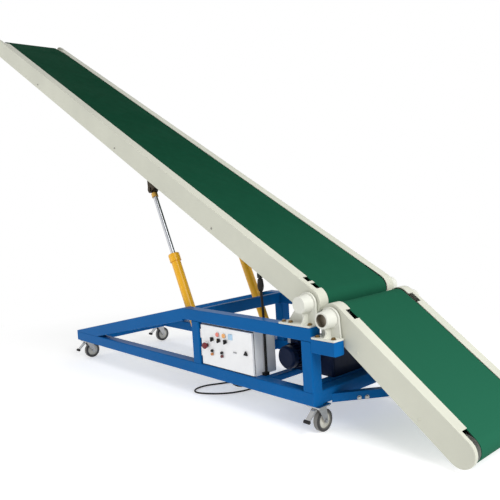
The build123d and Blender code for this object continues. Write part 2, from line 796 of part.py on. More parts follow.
# Motor on the near side of the tank: neck, finned body, chamfered fan cover and terminal box
motor_x = tank_left_x + motor_inset
motor_z = rail_top + motor_rise
motor_face = tank_near
fan_cover_start = motor_face + motor_length - fan_cover_length
with BuildPart() as pump_motor:
    with BuildSketch(Plane.XZ.offset(motor_face)):
        with Locations((motor_x, motor_z)):
            Circle(motor_core)
            with PolarLocations((motor_core + motor_radius) / 2, fin_count):
                Rectangle(2 * (motor_radius - motor_core), fin_thickness)
    extrude(amount=motor_length - fan_cover_length)
    with BuildSketch(Plane.XZ.offset(fan_cover_start)):
        with Locations((motor_x, motor_z)):
            Circle(motor_radius)
    extrude(amount=fan_cover_length)
    cover_y = -(motor_face + motor_length)
    chamfer(pump_motor.edges().filter_by_position(Axis.Y, cover_y - 0.1, cover_y + 0.1), fan_cover_chamfer)
    with BuildSketch(Plane.XZ.offset(motor_face)):
        with Locations((motor_x, motor_z)):
            Circle(motor_neck)
    extrude(amount=-lid_overhang)
    with Locations((motor_x, -(motor_face + terminal_gap + terminal_size / 2), motor_z + motor_radius)):
        Box(terminal_size, terminal_size, 2 * terminal_height)
pump_motor.part.label = "pump_motor"
export_step(pump_motor.part, "parts/pump_motor.step")

# Valve block on the tank's lid: a bar with upright valves
manifold_x = tank_left_x + manifold_length / 2
manifold_y = -(tank_near - manifold_depth / 2)
with BuildPart() as valve_block:
    with Locations((manifold_x, manifold_y, lid_top + manifold_height / 2)):
        Box(manifold_length, manifold_depth, manifold_height)
    with BuildSketch(Plane.XY.offset(lid_top + manifold_height)):
        with Locations((manifold_x, manifold_y)):
            with GridLocations(valve_pitch, 1, 3, 1):
                Circle(valve_radius)
    extrude(amount=valve_reach)
valve_block.part.label = "valve_block"
export_step(valve_block.part, "parts/valve_block.step")

# Casters: plates with swivel races and king pins under the rails
plate_bottom = rail_bottom - caster_plate_height
crown_top = plate_bottom - race_height - race_gap
crown_bottom = crown_top - fork_sheet
swivel_reach = chassis_width / 2 - caster_side_inset
caster_rows = [
    # name, swivel x, swivel y
    ("near_left", left_x + left_caster_inset, -swivel_reach),
    ("far_left", left_x + left_caster_inset, swivel_reach),
    ("near_right", end_x - right_caster_inset, -swivel_reach),
    ("far_right", end_x - right_caster_inset, swivel_reach),
]
with BuildPart() as caster_plates:
    for name, swivel_x, swivel_y in caster_rows:
        with BuildSketch(Plane.XY.offset(plate_bottom)):
            with Locations((swivel_x, swivel_y)):
                RectangleRounded(caster_plate_x, caster_plate_y, tube_corner)
        extrude(amount=caster_plate_height)
        with Locations((swivel_x, swivel_y, plate_bottom - race_height / 2)):
            Cylinder(race_radius, race_height)
        with Locations((swivel_x, swivel_y, plate_bottom - king_length / 2)):
            Cylinder(king_radius, king_length)
caster_plates.part.label = "caster_plates"
export_step(caster_plates.part, "parts/caster_plates.step")

# Forks pressed from one sheet with tapering cheeks, hex axle ends and a brake pedal; wheels
cheek = wheel_width / 2 + fork_gap
for name, swivel_x, swivel_y in caster_rows:
    wheel_y = swivel_y + caster_trail
    side_plane = Plane.YZ.offset(swivel_x)
    with BuildPart() as fork:
        with BuildSketch(side_plane):
            with BuildLine():
                Polyline(
                    (swivel_y - fork_half, crown_top),
                    (swivel_y + fork_half, crown_top),
                    (wheel_y + fork_end_radius, wheel_radius),
                    (wheel_y - fork_end_radius, wheel_radius),
                    close=True,
                )
            make_face()
            with Locations((wheel_y, wheel_radius)):
                Circle(fork_end_radius)
        extrude(amount=cheek + fork_sheet, both=True)
        fillet(fork.edges().filter_by(Axis.Y).group_by(Axis.Z)[-1], fork_round)
        with BuildSketch(Plane.XZ.offset(-swivel_y)):
            with Locations((swivel_x, crown_bottom / 2)):
                Rectangle(2 * cheek, crown_bottom)
        extrude(amount=2 * wheel_radius, both=True, mode=Mode.SUBTRACT)
        with BuildSketch(side_plane):
            with Locations((wheel_y, wheel_radius)):
                Circle(axle_radius)
        extrude(amount=cheek + fork_sheet, both=True)
        for cheek_side in sides:
            with BuildSketch(Plane.YZ.offset(swivel_x + cheek_side * (cheek + fork_sheet))):
                with Locations((wheel_y, wheel_radius)):
                    RegularPolygon(nut_radius, 6)
            extrude(amount=cheek_side * nut_height)
        with BuildSketch(side_plane):
            with BuildLine():
                Polyline(
                    (swivel_y - fork_half + pedal_sheet, crown_top),
                    (swivel_y - fork_half - pedal_sheet, crown_top),
                    (swivel_y - pedal_reach, crown_top - pedal_drop + pedal_sheet),
                    (swivel_y - pedal_reach, crown_top - pedal_drop - pedal_sheet),
                    (swivel_y - fork_half + pedal_sheet, crown_top - 2 * pedal_sheet),
                    close=True,
                )
            make_face()
            with Locations((swivel_y - pedal_reach, crown_top - pedal_drop)):
                Circle(pad_radius)
        extrude(amount=pedal_width / 2, both=True)
        with Locations((swivel_x, swivel_y, crown_top)):
            Cylinder(king_radius + king_gap, 2 * king_length, mode=Mode.SUBTRACT)
    fork.part.label = f"fork_{name}"
    export_step(fork.part, f"parts/fork_{name}.step")

    turning_plane = Plane(origin=(swivel_x, wheel_y, wheel_radius), x_dir=(1, 0, 0), z_dir=(0, 1, 0))
    axle = Axis((swivel_x, wheel_y, wheel_radius), (1, 0, 0))
    hub_radius = wheel_radius - tyre_depth
    with BuildPart() as hub:
        with BuildSketch(turning_plane):
            with Locations((0, (hub_radius + axle_radius + axle_gap) / 2)):
                Rectangle(wheel_width, hub_radius - axle_radius - axle_gap)
            for face in sides:
                with Locations((face * wheel_width / 2, (hub_boss + hub_radius - hub_rim) / 2)):
                    Rectangle(2 * hub_recess, hub_radius - hub_rim - hub_boss, mode=Mode.SUBTRACT)
        revolve(axis=axle)
    hub.part.label = f"hub_{name}"
    export_step(hub.part, f"parts/hub_{name}.step")

    with BuildPart() as tyre:
        with BuildSketch(turning_plane):
            with BuildLine():
                Polyline(
                    (-wheel_width / 2, hub_radius),
                    (wheel_width / 2, hub_radius),
                    (wheel_width / 2 - tyre_taper, wheel_radius),
                    (tyre_taper - wheel_width / 2, wheel_radius),
                    close=True,
                )
            make_face()
        revolve(axis=axle)
    tyre.part.label = f"tyre_{name}"
    export_step(tyre.part, f"parts/tyre_{name}.step")


# Cables: one from the boom to the chassis, and the mains lead with its coil and plug
def bend_radii(points):
    """Radius of the bend at each inner point, as large as its two runs allow."""
    radii = []
    for before, here, after in zip(points, points[1:], points[2:]):
        first = Vector(*here) - Vector(*before)
        second = Vector(*after) - Vector(*here)
        turn = math.radians(first.get_angle(second))
        radii.append(0.45 * min(first.length, second.length) / math.tan(turn / 2))
    return radii


# Clip under the boom's near flange that holds the top of the cable
clip_x = end_x - clip_left
boom_tangent = math.tan(math.radians(boom_angle))
boom_cosine = math.cos(math.radians(boom_angle))
clip_bottom = boom_pivot_z + (boom_pivot_x - clip_x) * boom_tangent - boom_below / boom_cosine - clip_drop
with BuildPart() as cable_clip:
    with Locations((clip_x, -cable_y, clip_bottom + clip_size)):
        Box(clip_size, clip_size, 2 * clip_size)
    with BuildSketch(boom_plane):
        with Locations((boom_length / 2, -boom_below + web_face)):
            Rectangle(boom_length, 2 * web_face)
    extrude(amount=web_face, both=True, mode=Mode.SUBTRACT)
cable_clip.part.label = "cable_clip"
export_step(cable_clip.part, "parts/cable_clip.step")

# Glands: on the bottom rail for the boom cable, under the case for the mains lead
gland_x = end_x - base_gland_left
base_gland_top = rail_top + base_gland_rise
lead_gland_x = case_left_x + lead_gland_inset
with BuildPart() as cable_glands:
    gland_reach = inner_y - cable_y + clip_size / 2
    with Locations((gland_x, -inner_y + gland_reach / 2, base_gland_top - base_gland_height / 2)):
        Box(clip_size, gland_reach, base_gland_height)
    with Locations((lead_gland_x, -lead_gland_y, rail_top - lead_gland_height / 2)):
        Cylinder(lead_gland_radius, lead_gland_height)
cable_glands.part.label = "cable_glands"
export_step(cable_glands.part, "parts/cable_glands.step")

boom_cable_points = [
    (clip_x, -cable_y, clip_bottom - cord_gap),
    (clip_x, -cable_y, 775),
    (clip_x + 6, -cable_y + 4, 640),
    (clip_x + 11, -cable_y - 2, 490),
    (gland_x, -cable_y, 350),
    (gland_x, -cable_y, base_gland_top),
]
lead_low = lead_radius + floor_gap
mains_lead_points = [
    (lead_gland_x, -lead_gland_y, rail_top - lead_gland_height),
    (lead_gland_x, -lead_gland_y, 160),
    (lead_gland_x - 6, -lead_gland_y + 70, 70),
    (lead_gland_x - 4, -lead_gland_y + 170, 14),
    (lead_gland_x + 6, -lead_gland_y + 245, lead_low),
    (lead_gland_x + 52, -lead_gland_y + 232, lead_low),
    (lead_gland_x + 42, -lead_gland_y + 130, lead_low),
    (lead_gland_x + 18, -lead_gland_y + 20, lead_low),
    (lead_gland_x - 75, -lead_gland_y - 66, lead_low),
    (lead_gland_x - 185, -lead_gland_y - 118, lead_low),
    (lead_gland_x - 255, -lead_gland_y - 70, lead_low),
    (lead_gland_x - 262, -lead_gland_y + 30, lead_low),
    (lead_gland_x - 214, -lead_gland_y + 115, lead_low),
    (lead_gland_x - 168, -lead_gland_y + 205, lead_low),
    (lead_gland_x - 146, -lead_gland_y + 268, lead_low),
]
for name, points, radius in [
    ("boom_cable", boom_cable_points, cable_radius),
    ("mains_lead", mains_lead_points, lead_radius),
]:
    radii = bend_radii(points)
    print(name, [round(bend, 1) for bend in radii])
    with BuildPart() as cord:
        with BuildLine() as route:
            FilletPolyline(*points, radius=radii)
        with BuildSketch(Plane(origin=points[0], z_dir=Vector(*points[1]) - Vector(*points[0]))):
            Circle(radius)
        sweep(path=route.line)
    route_length = sum(edge.length for edge in route.edges())
    print(name, round(cord.part.volume / (math.pi * radius**2), 1), round(route_length, 1))
    cord.part.label = name
    export_step(cord.part, f"parts/{name}.step")

coil_x = end_x - coil_left
with BuildPart() as lead_coil:
    with BuildSketch(Plane.XY.offset(floor_gap)):
        with Locations((coil_x, coil_y)):
            Circle(coil_outer)
            Circle(coil_inner, mode=Mode.SUBTRACT)
    extrude(amount=coil_height)
lead_coil.part.label = "lead_coil"
export_step(lead_coil.part, "parts/lead_coil.step")

with BuildPart() as lead_plug:
    plug_centre = (coil_y + coil_outer + plug_radius, plug_radius + floor_gap)
    neck_x = coil_x + plug_length / 2 - plug_neck_length
    with BuildSketch(Plane.YZ.offset(neck_x)):
        with Locations(plug_centre):
            Circle(plug_neck)
    extrude(amount=plug_neck_length)
    with BuildSketch(Plane.YZ.offset(coil_x - plug_length / 2)):
        with Locations(plug_centre):
            Circle(plug_radius)
    extrude(amount=plug_length - plug_neck_length)
lead_plug.part.label = "lead_plug"
export_step(lead_plug.part, "parts/lead_plug.step")
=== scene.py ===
"""Looks of the mobile bag loading conveyor: stage, light, camera, then a section for each piece."""

import json
import math

import bmesh
import bpy
from mathutils import Matrix, Vector


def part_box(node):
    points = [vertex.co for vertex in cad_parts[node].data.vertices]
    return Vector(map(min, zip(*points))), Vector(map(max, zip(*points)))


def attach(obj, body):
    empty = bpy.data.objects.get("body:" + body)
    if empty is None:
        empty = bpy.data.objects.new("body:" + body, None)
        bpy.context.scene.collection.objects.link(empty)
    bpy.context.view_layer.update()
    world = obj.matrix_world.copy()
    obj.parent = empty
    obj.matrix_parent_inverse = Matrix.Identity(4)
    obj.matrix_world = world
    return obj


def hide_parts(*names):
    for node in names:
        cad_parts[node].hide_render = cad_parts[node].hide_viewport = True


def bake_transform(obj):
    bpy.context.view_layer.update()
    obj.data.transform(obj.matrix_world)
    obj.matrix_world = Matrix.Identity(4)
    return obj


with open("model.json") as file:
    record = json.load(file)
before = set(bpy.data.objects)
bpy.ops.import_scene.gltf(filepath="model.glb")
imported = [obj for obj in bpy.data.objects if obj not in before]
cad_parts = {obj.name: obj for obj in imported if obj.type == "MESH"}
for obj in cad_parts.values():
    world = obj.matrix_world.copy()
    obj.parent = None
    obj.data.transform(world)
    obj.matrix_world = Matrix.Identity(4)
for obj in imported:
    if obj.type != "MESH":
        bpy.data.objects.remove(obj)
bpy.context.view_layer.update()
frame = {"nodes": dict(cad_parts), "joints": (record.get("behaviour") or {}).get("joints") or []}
scene = bpy.context.scene
nodes = frame["nodes"]
joint_place = {joint["name"]: Vector(joint["pos_m"]) for joint in frame["joints"] if "pos_m" in joint}

# Stage
# A plain pale floor in a white studio.  Near the machine it is matt paint that takes soft
# shadows; farther off it runs out into the same white that the camera sees all round.
floor_reach = 150.0
floor_drop = 0.0005
shadow_near = 1.8
shadow_far = 3.4
bpy.ops.mesh.primitive_plane_add(size=2 * floor_reach, location=(0, 0, -floor_drop))
floor = bpy.context.object
floor.name = "floor"
floor_paint = bpy.data.materials.new("floor_paint")
floor_paint.use_nodes = True
tree = floor_paint.node_tree
matt = tree.nodes["Principled BSDF"]
matt.inputs["Base Color"].default_value = (0.94, 0.94, 0.94, 1)
matt.inputs["Roughness"].default_value = 0.85
matt.inputs["Specular IOR Level"].default_value = 0.15
matt.inputs["Emission Color"].default_value = (1, 1, 1, 1)
matt.inputs["Emission Strength"].default_value = 0.42
glow = tree.nodes.new("ShaderNodeEmission")
glow.inputs["Color"].default_value = (1, 1, 1, 1)
place = tree.nodes.new("ShaderNodeTexCoord")
distance = tree.nodes.new("ShaderNodeVectorMath")
distance.operation = "LENGTH"
fade = tree.nodes.new("ShaderNodeMapRange")
fade.interpolation_type = "SMOOTHSTEP"
fade.inputs["From Min"].default_value = shadow_near
fade.inputs["From Max"].default_value = shadow_far
blend = tree.nodes.new("ShaderNodeMixShader")
tree.links.new(place.outputs["Object"], distance.inputs[0])
tree.links.new(distance.outputs["Value"], fade.inputs["Value"])
tree.links.new(fade.outputs["Result"], blend.inputs["Fac"])
tree.links.new(matt.outputs["BSDF"], blend.inputs[1])
tree.links.new(glow.outputs["Emission"], blend.inputs[2])
tree.links.new(blend.outputs["Shader"], tree.nodes["Material Output"].inputs["Surface"])
floor.data.materials.append(floor_paint)

# Studio light
# White surroundings for the camera and for what mirrors in metal, a softer grey for what
# lights the machine, a broad key lamp beyond the infeed, and a weak one to the left in front.
surround_white = 1.0
surround_soft = 0.43
world = bpy.data.worlds.new("studio")
scene.world = world
world.use_nodes = True
tree = world.node_tree
sky = tree.nodes["Background"]
sky.inputs["Color"].default_value = (1, 1, 1, 1)
sight = tree.nodes.new("ShaderNodeLightPath")
mirrored = tree.nodes.new("ShaderNodeMath")
mirrored.operation = "MAXIMUM"
seen = tree.nodes.new("ShaderNodeMath")
seen.operation = "MAXIMUM"
strength = tree.nodes.new("ShaderNodeMapRange")
strength.inputs["To Min"].default_value = surround_soft
strength.inputs["To Max"].default_value = surround_white
tree.links.new(sight.outputs["Is Glossy Ray"], mirrored.inputs[0])
tree.links.new(sight.outputs["Is Transmission Ray"], mirrored.inputs[1])
tree.links.new(mirrored.outputs["Value"], seen.inputs[0])
tree.links.new(sight.outputs["Is Camera Ray"], seen.inputs[1])
tree.links.new(seen.outputs["Value"], strength.inputs["Value"])
tree.links.new(strength.outputs["Result"], sky.inputs["Strength"])
scene.view_settings.view_transform = "Standard"
lamp_aim = Vector((0.4, 0, 0.6))
lamp_rows = [
    # name, place, watts, side length
    ("key", Vector((6.0, -0.6, 4.2)), 300, 4.0),
    ("fill", Vector((-3.8, -6.0, 2.6)), 105, 5.0),
]
for name, lamp_place, watts, side_length in lamp_rows:
    lamp_data = bpy.data.lights.new(name, "AREA")
    lamp_data.energy = watts
    lamp_data.size = side_length
    lamp = bpy.data.objects.new(name, lamp_data)
    lamp_turn = (lamp_aim - lamp_place).to_track_quat("-Z", "Y").to_matrix().to_4x4()
    lamp.matrix_world = Matrix.Translation(lamp_place) @ lamp_turn
    scene.collection.objects.link(lamp)

# Camera
# The photograph's view.  Its place, turns and focal length, and the pixel that its axis meets,
# were fitted to the edges of the chassis and belts.
camera_place = Vector((4.09127, -2.87016, 1.35281))
yaw = math.radians(48.07)
pitch = math.radians(4.72)
roll = math.radians(3.47)
photo_size = 500.0
focal_pixels = 611.77
centre_x = 257.22
centre_y = 248.7
forward = Vector((-math.sin(yaw) * math.cos(pitch), math.cos(yaw) * math.cos(pitch), -math.sin(pitch)))
level_right = Vector((math.cos(yaw), math.sin(yaw), 0))
level_up = level_right.cross(forward)
right = math.cos(roll) * level_right - math.sin(roll) * level_up
up = math.sin(roll) * level_right + math.cos(roll) * level_up
lens = bpy.data.cameras.new("camera")
lens.sensor_width = 36.0
lens.lens = lens.sensor_width * focal_pixels / photo_size
lens.shift_x = (photo_size / 2 - centre_x) / photo_size
lens.shift_y = (centre_y - photo_size / 2) / photo_size
lens.clip_end = 2 * floor_reach
camera = bpy.data.objects.new("camera", lens)
camera.matrix_world = Matrix.Translation(camera_place) @ Matrix((right, up, -forward)).transposed().to_4x4()
scene.collection.objects.link(camera)
scene.camera = camera


# Mains lead
# A black rubber lead leaves the gland under the control box, lies in a loose loop on the
# floor, and its spare length is wound in a coil under the machine, with a moulded plug.
def new_material(name):
    """An empty material, with its node tree and its principled shader."""
    material = bpy.data.materials.new(name)
    material.use_nodes = True
    return material, material.node_tree, material.node_tree.nodes["Principled BSDF"]


def new_group(name, inputs, outputs):
    """A shader node group with the given sockets, and its two end nodes."""
    group = bpy.data.node_groups.new(name, "ShaderNodeTree")
    for label, kind in inputs:
        group.interface.new_socket(label, in_out="INPUT", socket_type=kind)
    for label, kind in outputs:
        group.interface.new_socket(label, in_out="OUTPUT", socket_type=kind)
    return group, group.nodes.new("NodeGroupInput"), group.nodes.new("NodeGroupOutput")


# Shared by moulded rubber and plastic: faint grey bloom, uneven gloss and a fine grain
moulded, given, made = new_group(
    "moulded_skin",
    [("Colour", "NodeSocketColor"), ("Bloom", "NodeSocketFloat"), ("Grain", "NodeSocketFloat")],
    [("Colour", "NodeSocketColor"), ("Roughness", "NodeSocketFloat"), ("Normal", "NodeSocketVector")],
)
place = moulded.nodes.new("ShaderNodeTexCoord")
cloud = moulded.nodes.new("ShaderNodeTexNoise")
cloud.inputs["Scale"].default_value = 14.0
cloud.inputs["Detail"].default_value = 5.0
bloom = moulded.nodes.new("ShaderNodeMath")
bloom.operation = "MULTIPLY"
tint = moulded.nodes.new("ShaderNodeMix")
tint.data_type = "RGBA"
tint.inputs["B"].default_value = (0.42, 0.41, 0.39, 1)
gloss = moulded.nodes.new("ShaderNodeMapRange")
gloss.inputs["To Min"].default_value = 0.38
gloss.inputs["To Max"].default_value = 0.72
grain = moulded.nodes.new("ShaderNodeTexNoise")
bump = moulded.nodes.new("ShaderNodeBump")
bump.inputs["Strength"].default_value = 0.12
bump.inputs["Distance"].default_value = 0.0006
moulded.links.new(place.outputs["Object"], cloud.inputs["Vector"])
moulded.links.new(place.outputs["Object"], grain.inputs["Vector"])
moulded.links.new(given.outputs["Grain"], grain.inputs["Scale"])
moulded.links.new(cloud.outputs["Fac"], bloom.inputs[0])
moulded.links.new(given.outputs["Bloom"], bloom.inputs[1])
moulded.links.new(bloom.outputs["Value"], tint.inputs["Factor"])
moulded.links.new(given.outputs["Colour"], tint.inputs["A"])
moulded.links.new(cloud.outputs["Fac"], gloss.inputs["Value"])
moulded.links.new(grain.outputs["Fac"], bump.inputs["Height"])
moulded.links.new(tint.outputs["Result"], made.inputs["Colour"])
moulded.links.new(gloss.outputs["Result"], made.inputs["Roughness"])
moulded.links.new(bump.outputs["Normal"], made.inputs["Normal"])


def moulded_material(name, colour, bloom_share=0.12, grain_scale=900.0, shine=0.4):
    """Moulded rubber or plastic in one colour."""
    material, tree, shader = new_material(name)
    shader.inputs["Specular IOR Level"].default_value = shine
    skin = tree.nodes.new("ShaderNodeGroup")
    skin.node_tree = moulded
    skin.inputs["Colour"].default_value = (*colour, 1)
    skin.inputs["Bloom"].default_value = bloom_share
    skin.inputs["Grain"].default_value = grain_scale
    tree.links.new(skin.outputs["Colour"], shader.inputs["Base Color"])
    tree.links.new(skin.outputs["Roughness"], shader.inputs["Roughness"])
    tree.links.new(skin.outputs["Normal"], shader.inputs["Normal"])
    return material


def dress(material, *names):
    """Gives CAD nodes their material."""
    for name in names:
        nodes[name].data.materials.clear()
        nodes[name].data.materials.append(material)


def spline_curve(name, points):
    """A curve of one smooth open spline with these control points."""
    curve = bpy.data.curves.new(name, "CURVE")
    curve.dimensions = "3D"
    spline = curve.splines.new("NURBS")
    spline.points.add(len(points) - 1)
    for control, point in zip(spline.points, points):
        control.co = (*point, 1)
    spline.order_u = 3
    spline.use_endpoint_u = True
    spline.resolution_u = 8
    piece = bpy.data.objects.new(name, curve)
    scene.collection.objects.link(piece)
    return piece


lead_radius = 0.006
lead_low = 0.0062
lead_exit = Vector((0.784, -0.290, 0.229))
lead_run = [
    # east of the gland, north of it, height
    (0, 0, 0.229),
    (0, 0, 0.160),
    (-0.006, 0.060, 0.078),
    (-0.016, 0.122, 0.028),
    (-0.022, 0.178, 0.008),
    (-0.017, 0.228, lead_low),
    (0.010, 0.255, lead_low),
    (0.044, 0.256, lead_low),
    (0.070, 0.229, lead_low),
    (0.072, 0.180, lead_low),
    (0.060, 0.112, lead_low),
    (0.018, 0.018, lead_low),
    (-0.075, -0.066, lead_low),
    (-0.185, -0.118, lead_low),
    (-0.255, -0.070, lead_low),
    (-0.262, 0.030, lead_low),
    (-0.216, 0.115, lead_low),
    (-0.172, 0.195, lead_low),
    (-0.140, 0.262, lead_low),
]
lead_points = [(lead_exit.x + east, lead_exit.y + north, height) for east, north, height in lead_run]
coil_centre = Vector((0.554, 0.060))
coil_outside = 0.1095
coil_pitch = 0.0126
coil_layer = 0.0124
coil_start = math.radians(-22)
points_per_turn = 16
turns_in = 2
turns_out = 2
climb_turns = 0.5
for step in range(1, points_per_turn * (turns_in + turns_out) + 1):
    turn = step / points_per_turn
    angle = coil_start + 2 * math.pi * turn
    climb = min(max((turn - turns_in + climb_turns / 2) / climb_turns, 0), 1)
    radius = coil_outside - coil_pitch * (turn if turn < turns_in else 2 * turns_in - turn)
    lead_points.append((
        coil_centre.x + radius * math.cos(angle),
        coil_centre.y + radius * math.sin(angle),
        lead_low + climb * coil_layer,
    ))
plug_low, plug_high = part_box("lead_plug")
plug_centre = (plug_low + plug_high) / 2
lead_points += [
    # the last bend, from the top of the coil round to the end of the plug
    (plug_high.x + 0.055, coil_centre.y + 0.055, lead_low + coil_layer),
    (plug_high.x + 0.058, plug_centre.y - 0.030, plug_centre.z - 0.003),
    (plug_high.x + 0.040, plug_centre.y, plug_centre.z),
    (plug_high.x, plug_centre.y, plug_centre.z),
]
black_rubber = moulded_material("black_rubber", (0.010, 0.009, 0.009), 0.03, 700.0, 0.15)
black_plastic = moulded_material("black_plastic", (0.008, 0.008, 0.009), 0.03, 1200.0, 0.2)
lead = spline_curve("mains_lead_cord", lead_points)
lead.data.bevel_depth = lead_radius
lead.data.bevel_resolution = 4
lead.data.use_fill_caps = True
lead.data.materials.append(black_rubber)
dress(black_plastic, "lead_plug", "cable_glands", "cable_clip")
dress(black_rubber, "mains_lead", "lead_coil", "boom_cable")
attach(lead, "chassis")
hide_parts("mains_lead", "lead_coil")

# Boom cable
# A black cable hangs from a clip under the boom to a gland on the bottom rail.  It is drawn
# as a tube along its smooth line.
cable_radius = 0.0085
cable_points = [
    (1.279, -0.335, 0.857),
    (1.279, -0.335, 0.775),
    (1.285, -0.331, 0.640),
    (1.290, -0.337, 0.490),
    (1.287, -0.335, 0.350),
    (1.287, -0.335, 0.260),
]
route = spline_curve("boom_cable_route", cable_points)
line_mesh = bpy.data.meshes.new_from_object(route)
route.data.bevel_depth = cable_radius
route.data.bevel_resolution = 4
route.data.use_fill_caps = True
bpy.context.view_layer.update()
evaluated_route = route.evaluated_get(bpy.context.evaluated_depsgraph_get())
tube_mesh = bpy.data.meshes.new_from_object(evaluated_route)
cable = bpy.data.objects.new("boom_cable_cord", tube_mesh)
scene.collection.objects.link(cable)
bpy.data.objects.remove(route)
cable.data.materials.clear()
cable.data.materials.append(black_rubber)
for polygon in cable.data.polygons:
    polygon.use_smooth = True
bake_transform(cable)
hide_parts("boom_cable")

# Cable wrap
# A bundle of black tape wound round the boom cable just under its clip.  It is thickest in
# the middle and a little flat from the side.
wrap_profile = [
    # radius, drop below the clip
    (0.0100, 0),
    (0.0190, 0.010),
    (0.0215, 0.030),
    (0.0235, 0.050),
    (0.0205, 0.068),
    (0.0135, 0.084),
]
wrap_steps = 28
wrap_flatness = 0.8
wrap_x, wrap_y, wrap_z = cable_points[0]
cable_wrap = bmesh.new()
wrap_rings = []
for radius, drop in wrap_profile:
    wrap_rings.append([
        cable_wrap.verts.new((
            wrap_x + radius * math.cos(2 * math.pi * step / wrap_steps),
            wrap_y + wrap_flatness * radius * math.sin(2 * math.pi * step / wrap_steps),
            wrap_z - drop,
        ))
        for step in range(wrap_steps)
    ])
for above, below in zip(wrap_rings, wrap_rings[1:]):
    for step in range(wrap_steps):
        after = (step + 1) % wrap_steps
        cable_wrap.faces.new((above[after], above[step], below[step], below[after]))
cable_wrap.faces.new(wrap_rings[0])
cable_wrap.faces.new(list(reversed(wrap_rings[-1])))
wrap_mesh = bpy.data.meshes.new("cable_wrap")
cable_wrap.to_mesh(wrap_mesh)
cable_wrap.free()
for polygon in wrap_mesh.polygons:
    polygon.use_smooth = True
wrap_mesh.materials.append(black_rubber)
wrap_piece = bpy.data.objects.new("cable_wrap", wrap_mesh)
scene.collection.objects.link(wrap_piece)
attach(wrap_piece, "boom")

# Chassis
# Square steel tubes, welded together and sprayed with blue enamel.  The coat is a little
# uneven, and dust lies on its upper faces and toward the floor.

# Shared by sprayed and powder-coated metal: uneven depth of colour, patchy dust and a fine peel
sprayed, given, made = new_group(
    "sprayed_coat",
    [("Colour", "NodeSocketColor"), ("Roughness", "NodeSocketFloat"), ("Dust", "NodeSocketFloat"),
     ("Peel", "NodeSocketFloat")],
    [("Colour", "NodeSocketColor"), ("Roughness", "NodeSocketFloat"), ("Normal", "NodeSocketVector")],
)
place = sprayed.nodes.new("ShaderNodeTexCoord")
facing = sprayed.nodes.new("ShaderNodeNewGeometry")
cloud = sprayed.nodes.new("ShaderNodeTexNoise")
cloud.inputs["Scale"].default_value = 2.4
cloud.inputs["Detail"].default_value = 6.0
fine = sprayed.nodes.new("ShaderNodeTexNoise")
fine.inputs["Scale"].default_value = 55.0
fine.inputs["Detail"].default_value = 4.0
uneven = sprayed.nodes.new("ShaderNodeMapRange")
uneven.inputs["From Min"].default_value = 0.3
uneven.inputs["From Max"].default_value = 0.75
uneven.inputs["To Max"].default_value = 0.22
deep = sprayed.nodes.new("ShaderNodeMix")
deep.data_type = "RGBA"
deep.blend_type = "MULTIPLY"
deep.inputs["B"].default_value = (0.45, 0.45, 0.48, 1)
axes = sprayed.nodes.new("ShaderNodeSeparateXYZ")
low = sprayed.nodes.new("ShaderNodeMapRange")
low.inputs["From Min"].default_value = 0.05
low.inputs["From Max"].default_value = 0.60
low.inputs["To Min"].default_value = 0.55
low.inputs["To Max"].default_value = 0.0
turned_up = sprayed.nodes.new("ShaderNodeSeparateXYZ")
flat = sprayed.nodes.new("ShaderNodeMapRange")
flat.inputs["From Min"].default_value = 0.6
flat.inputs["From Max"].default_value = 1.0
lying = sprayed.nodes.new("ShaderNodeMath")
lying.operation = "ADD"
spread = sprayed.nodes.new("ShaderNodeMapRange")
spread.inputs["From Min"].default_value = 0.42
spread.inputs["From Max"].default_value = 0.72
patches = sprayed.nodes.new("ShaderNodeMath")
patches.operation = "MULTIPLY"
dust_and_painted_light = sprayed.nodes.new("ShaderNodeMath")
dust_and_painted_light.operation = "MULTIPLY"
dust_and_painted_light.use_clamp = True
coat = sprayed.nodes.new("ShaderNodeMix")
coat.data_type = "RGBA"
coat.inputs["B"].default_value = (0.50, 0.47, 0.41, 1)
sheen = sprayed.nodes.new("ShaderNodeMath")
sheen.operation = "MULTIPLY_ADD"
sheen.inputs[1].default_value = 0.35
peel = sprayed.nodes.new("ShaderNodeTexNoise")
peel.inputs["Scale"].default_value = 210.0
bump = sprayed.nodes.new("ShaderNodeBump")
bump.inputs["Distance"].default_value = 0.0008
for texture in (cloud, fine, peel):
    sprayed.links.new(place.outputs["Object"], texture.inputs["Vector"])
sprayed.links.new(cloud.outputs["Fac"], uneven.inputs["Value"])
sprayed.links.new(uneven.outputs["Result"], deep.inputs["Factor"])
sprayed.links.new(given.outputs["Colour"], deep.inputs["A"])
sprayed.links.new(place.outputs["Object"], axes.inputs["Vector"])
sprayed.links.new(axes.outputs["Z"], low.inputs["Value"])
sprayed.links.new(facing.outputs["Normal"], turned_up.inputs["Vector"])
sprayed.links.new(turned_up.outputs["Z"], flat.inputs["Value"])
sprayed.links.new(low.outputs["Result"], lying.inputs[0])
sprayed.links.new(flat.outputs["Result"], lying.inputs[1])
sprayed.links.new(fine.outputs["Fac"], spread.inputs["Value"])
sprayed.links.new(lying.outputs["Value"], patches.inputs[0])
sprayed.links.new(spread.outputs["Result"], patches.inputs[1])
sprayed.links.new(patches.outputs["Value"], dust_and_painted_light.inputs[0])
sprayed.links.new(given.outputs["Dust"], dust_and_painted_light.inputs[1])
sprayed.links.new(dust_and_painted_light.outputs["Value"], coat.inputs["Factor"])
sprayed.links.new(deep.outputs["Result"], coat.inputs["A"])
sprayed.links.new(dust_and_painted_light.outputs["Value"], sheen.inputs[0])
sprayed.links.new(given.outputs["Roughness"], sheen.inputs[2])
sprayed.links.new(peel.outputs["Fac"], bump.inputs["Height"])
sprayed.links.new(given.outputs["Peel"], bump.inputs["Strength"])
sprayed.links.new(coat.outputs["Result"], made.inputs["Colour"])
sprayed.links.new(sheen.outputs["Value"], made.inputs["Roughness"])
sprayed.links.new(bump.outputs["Normal"], made.inputs["Normal"])


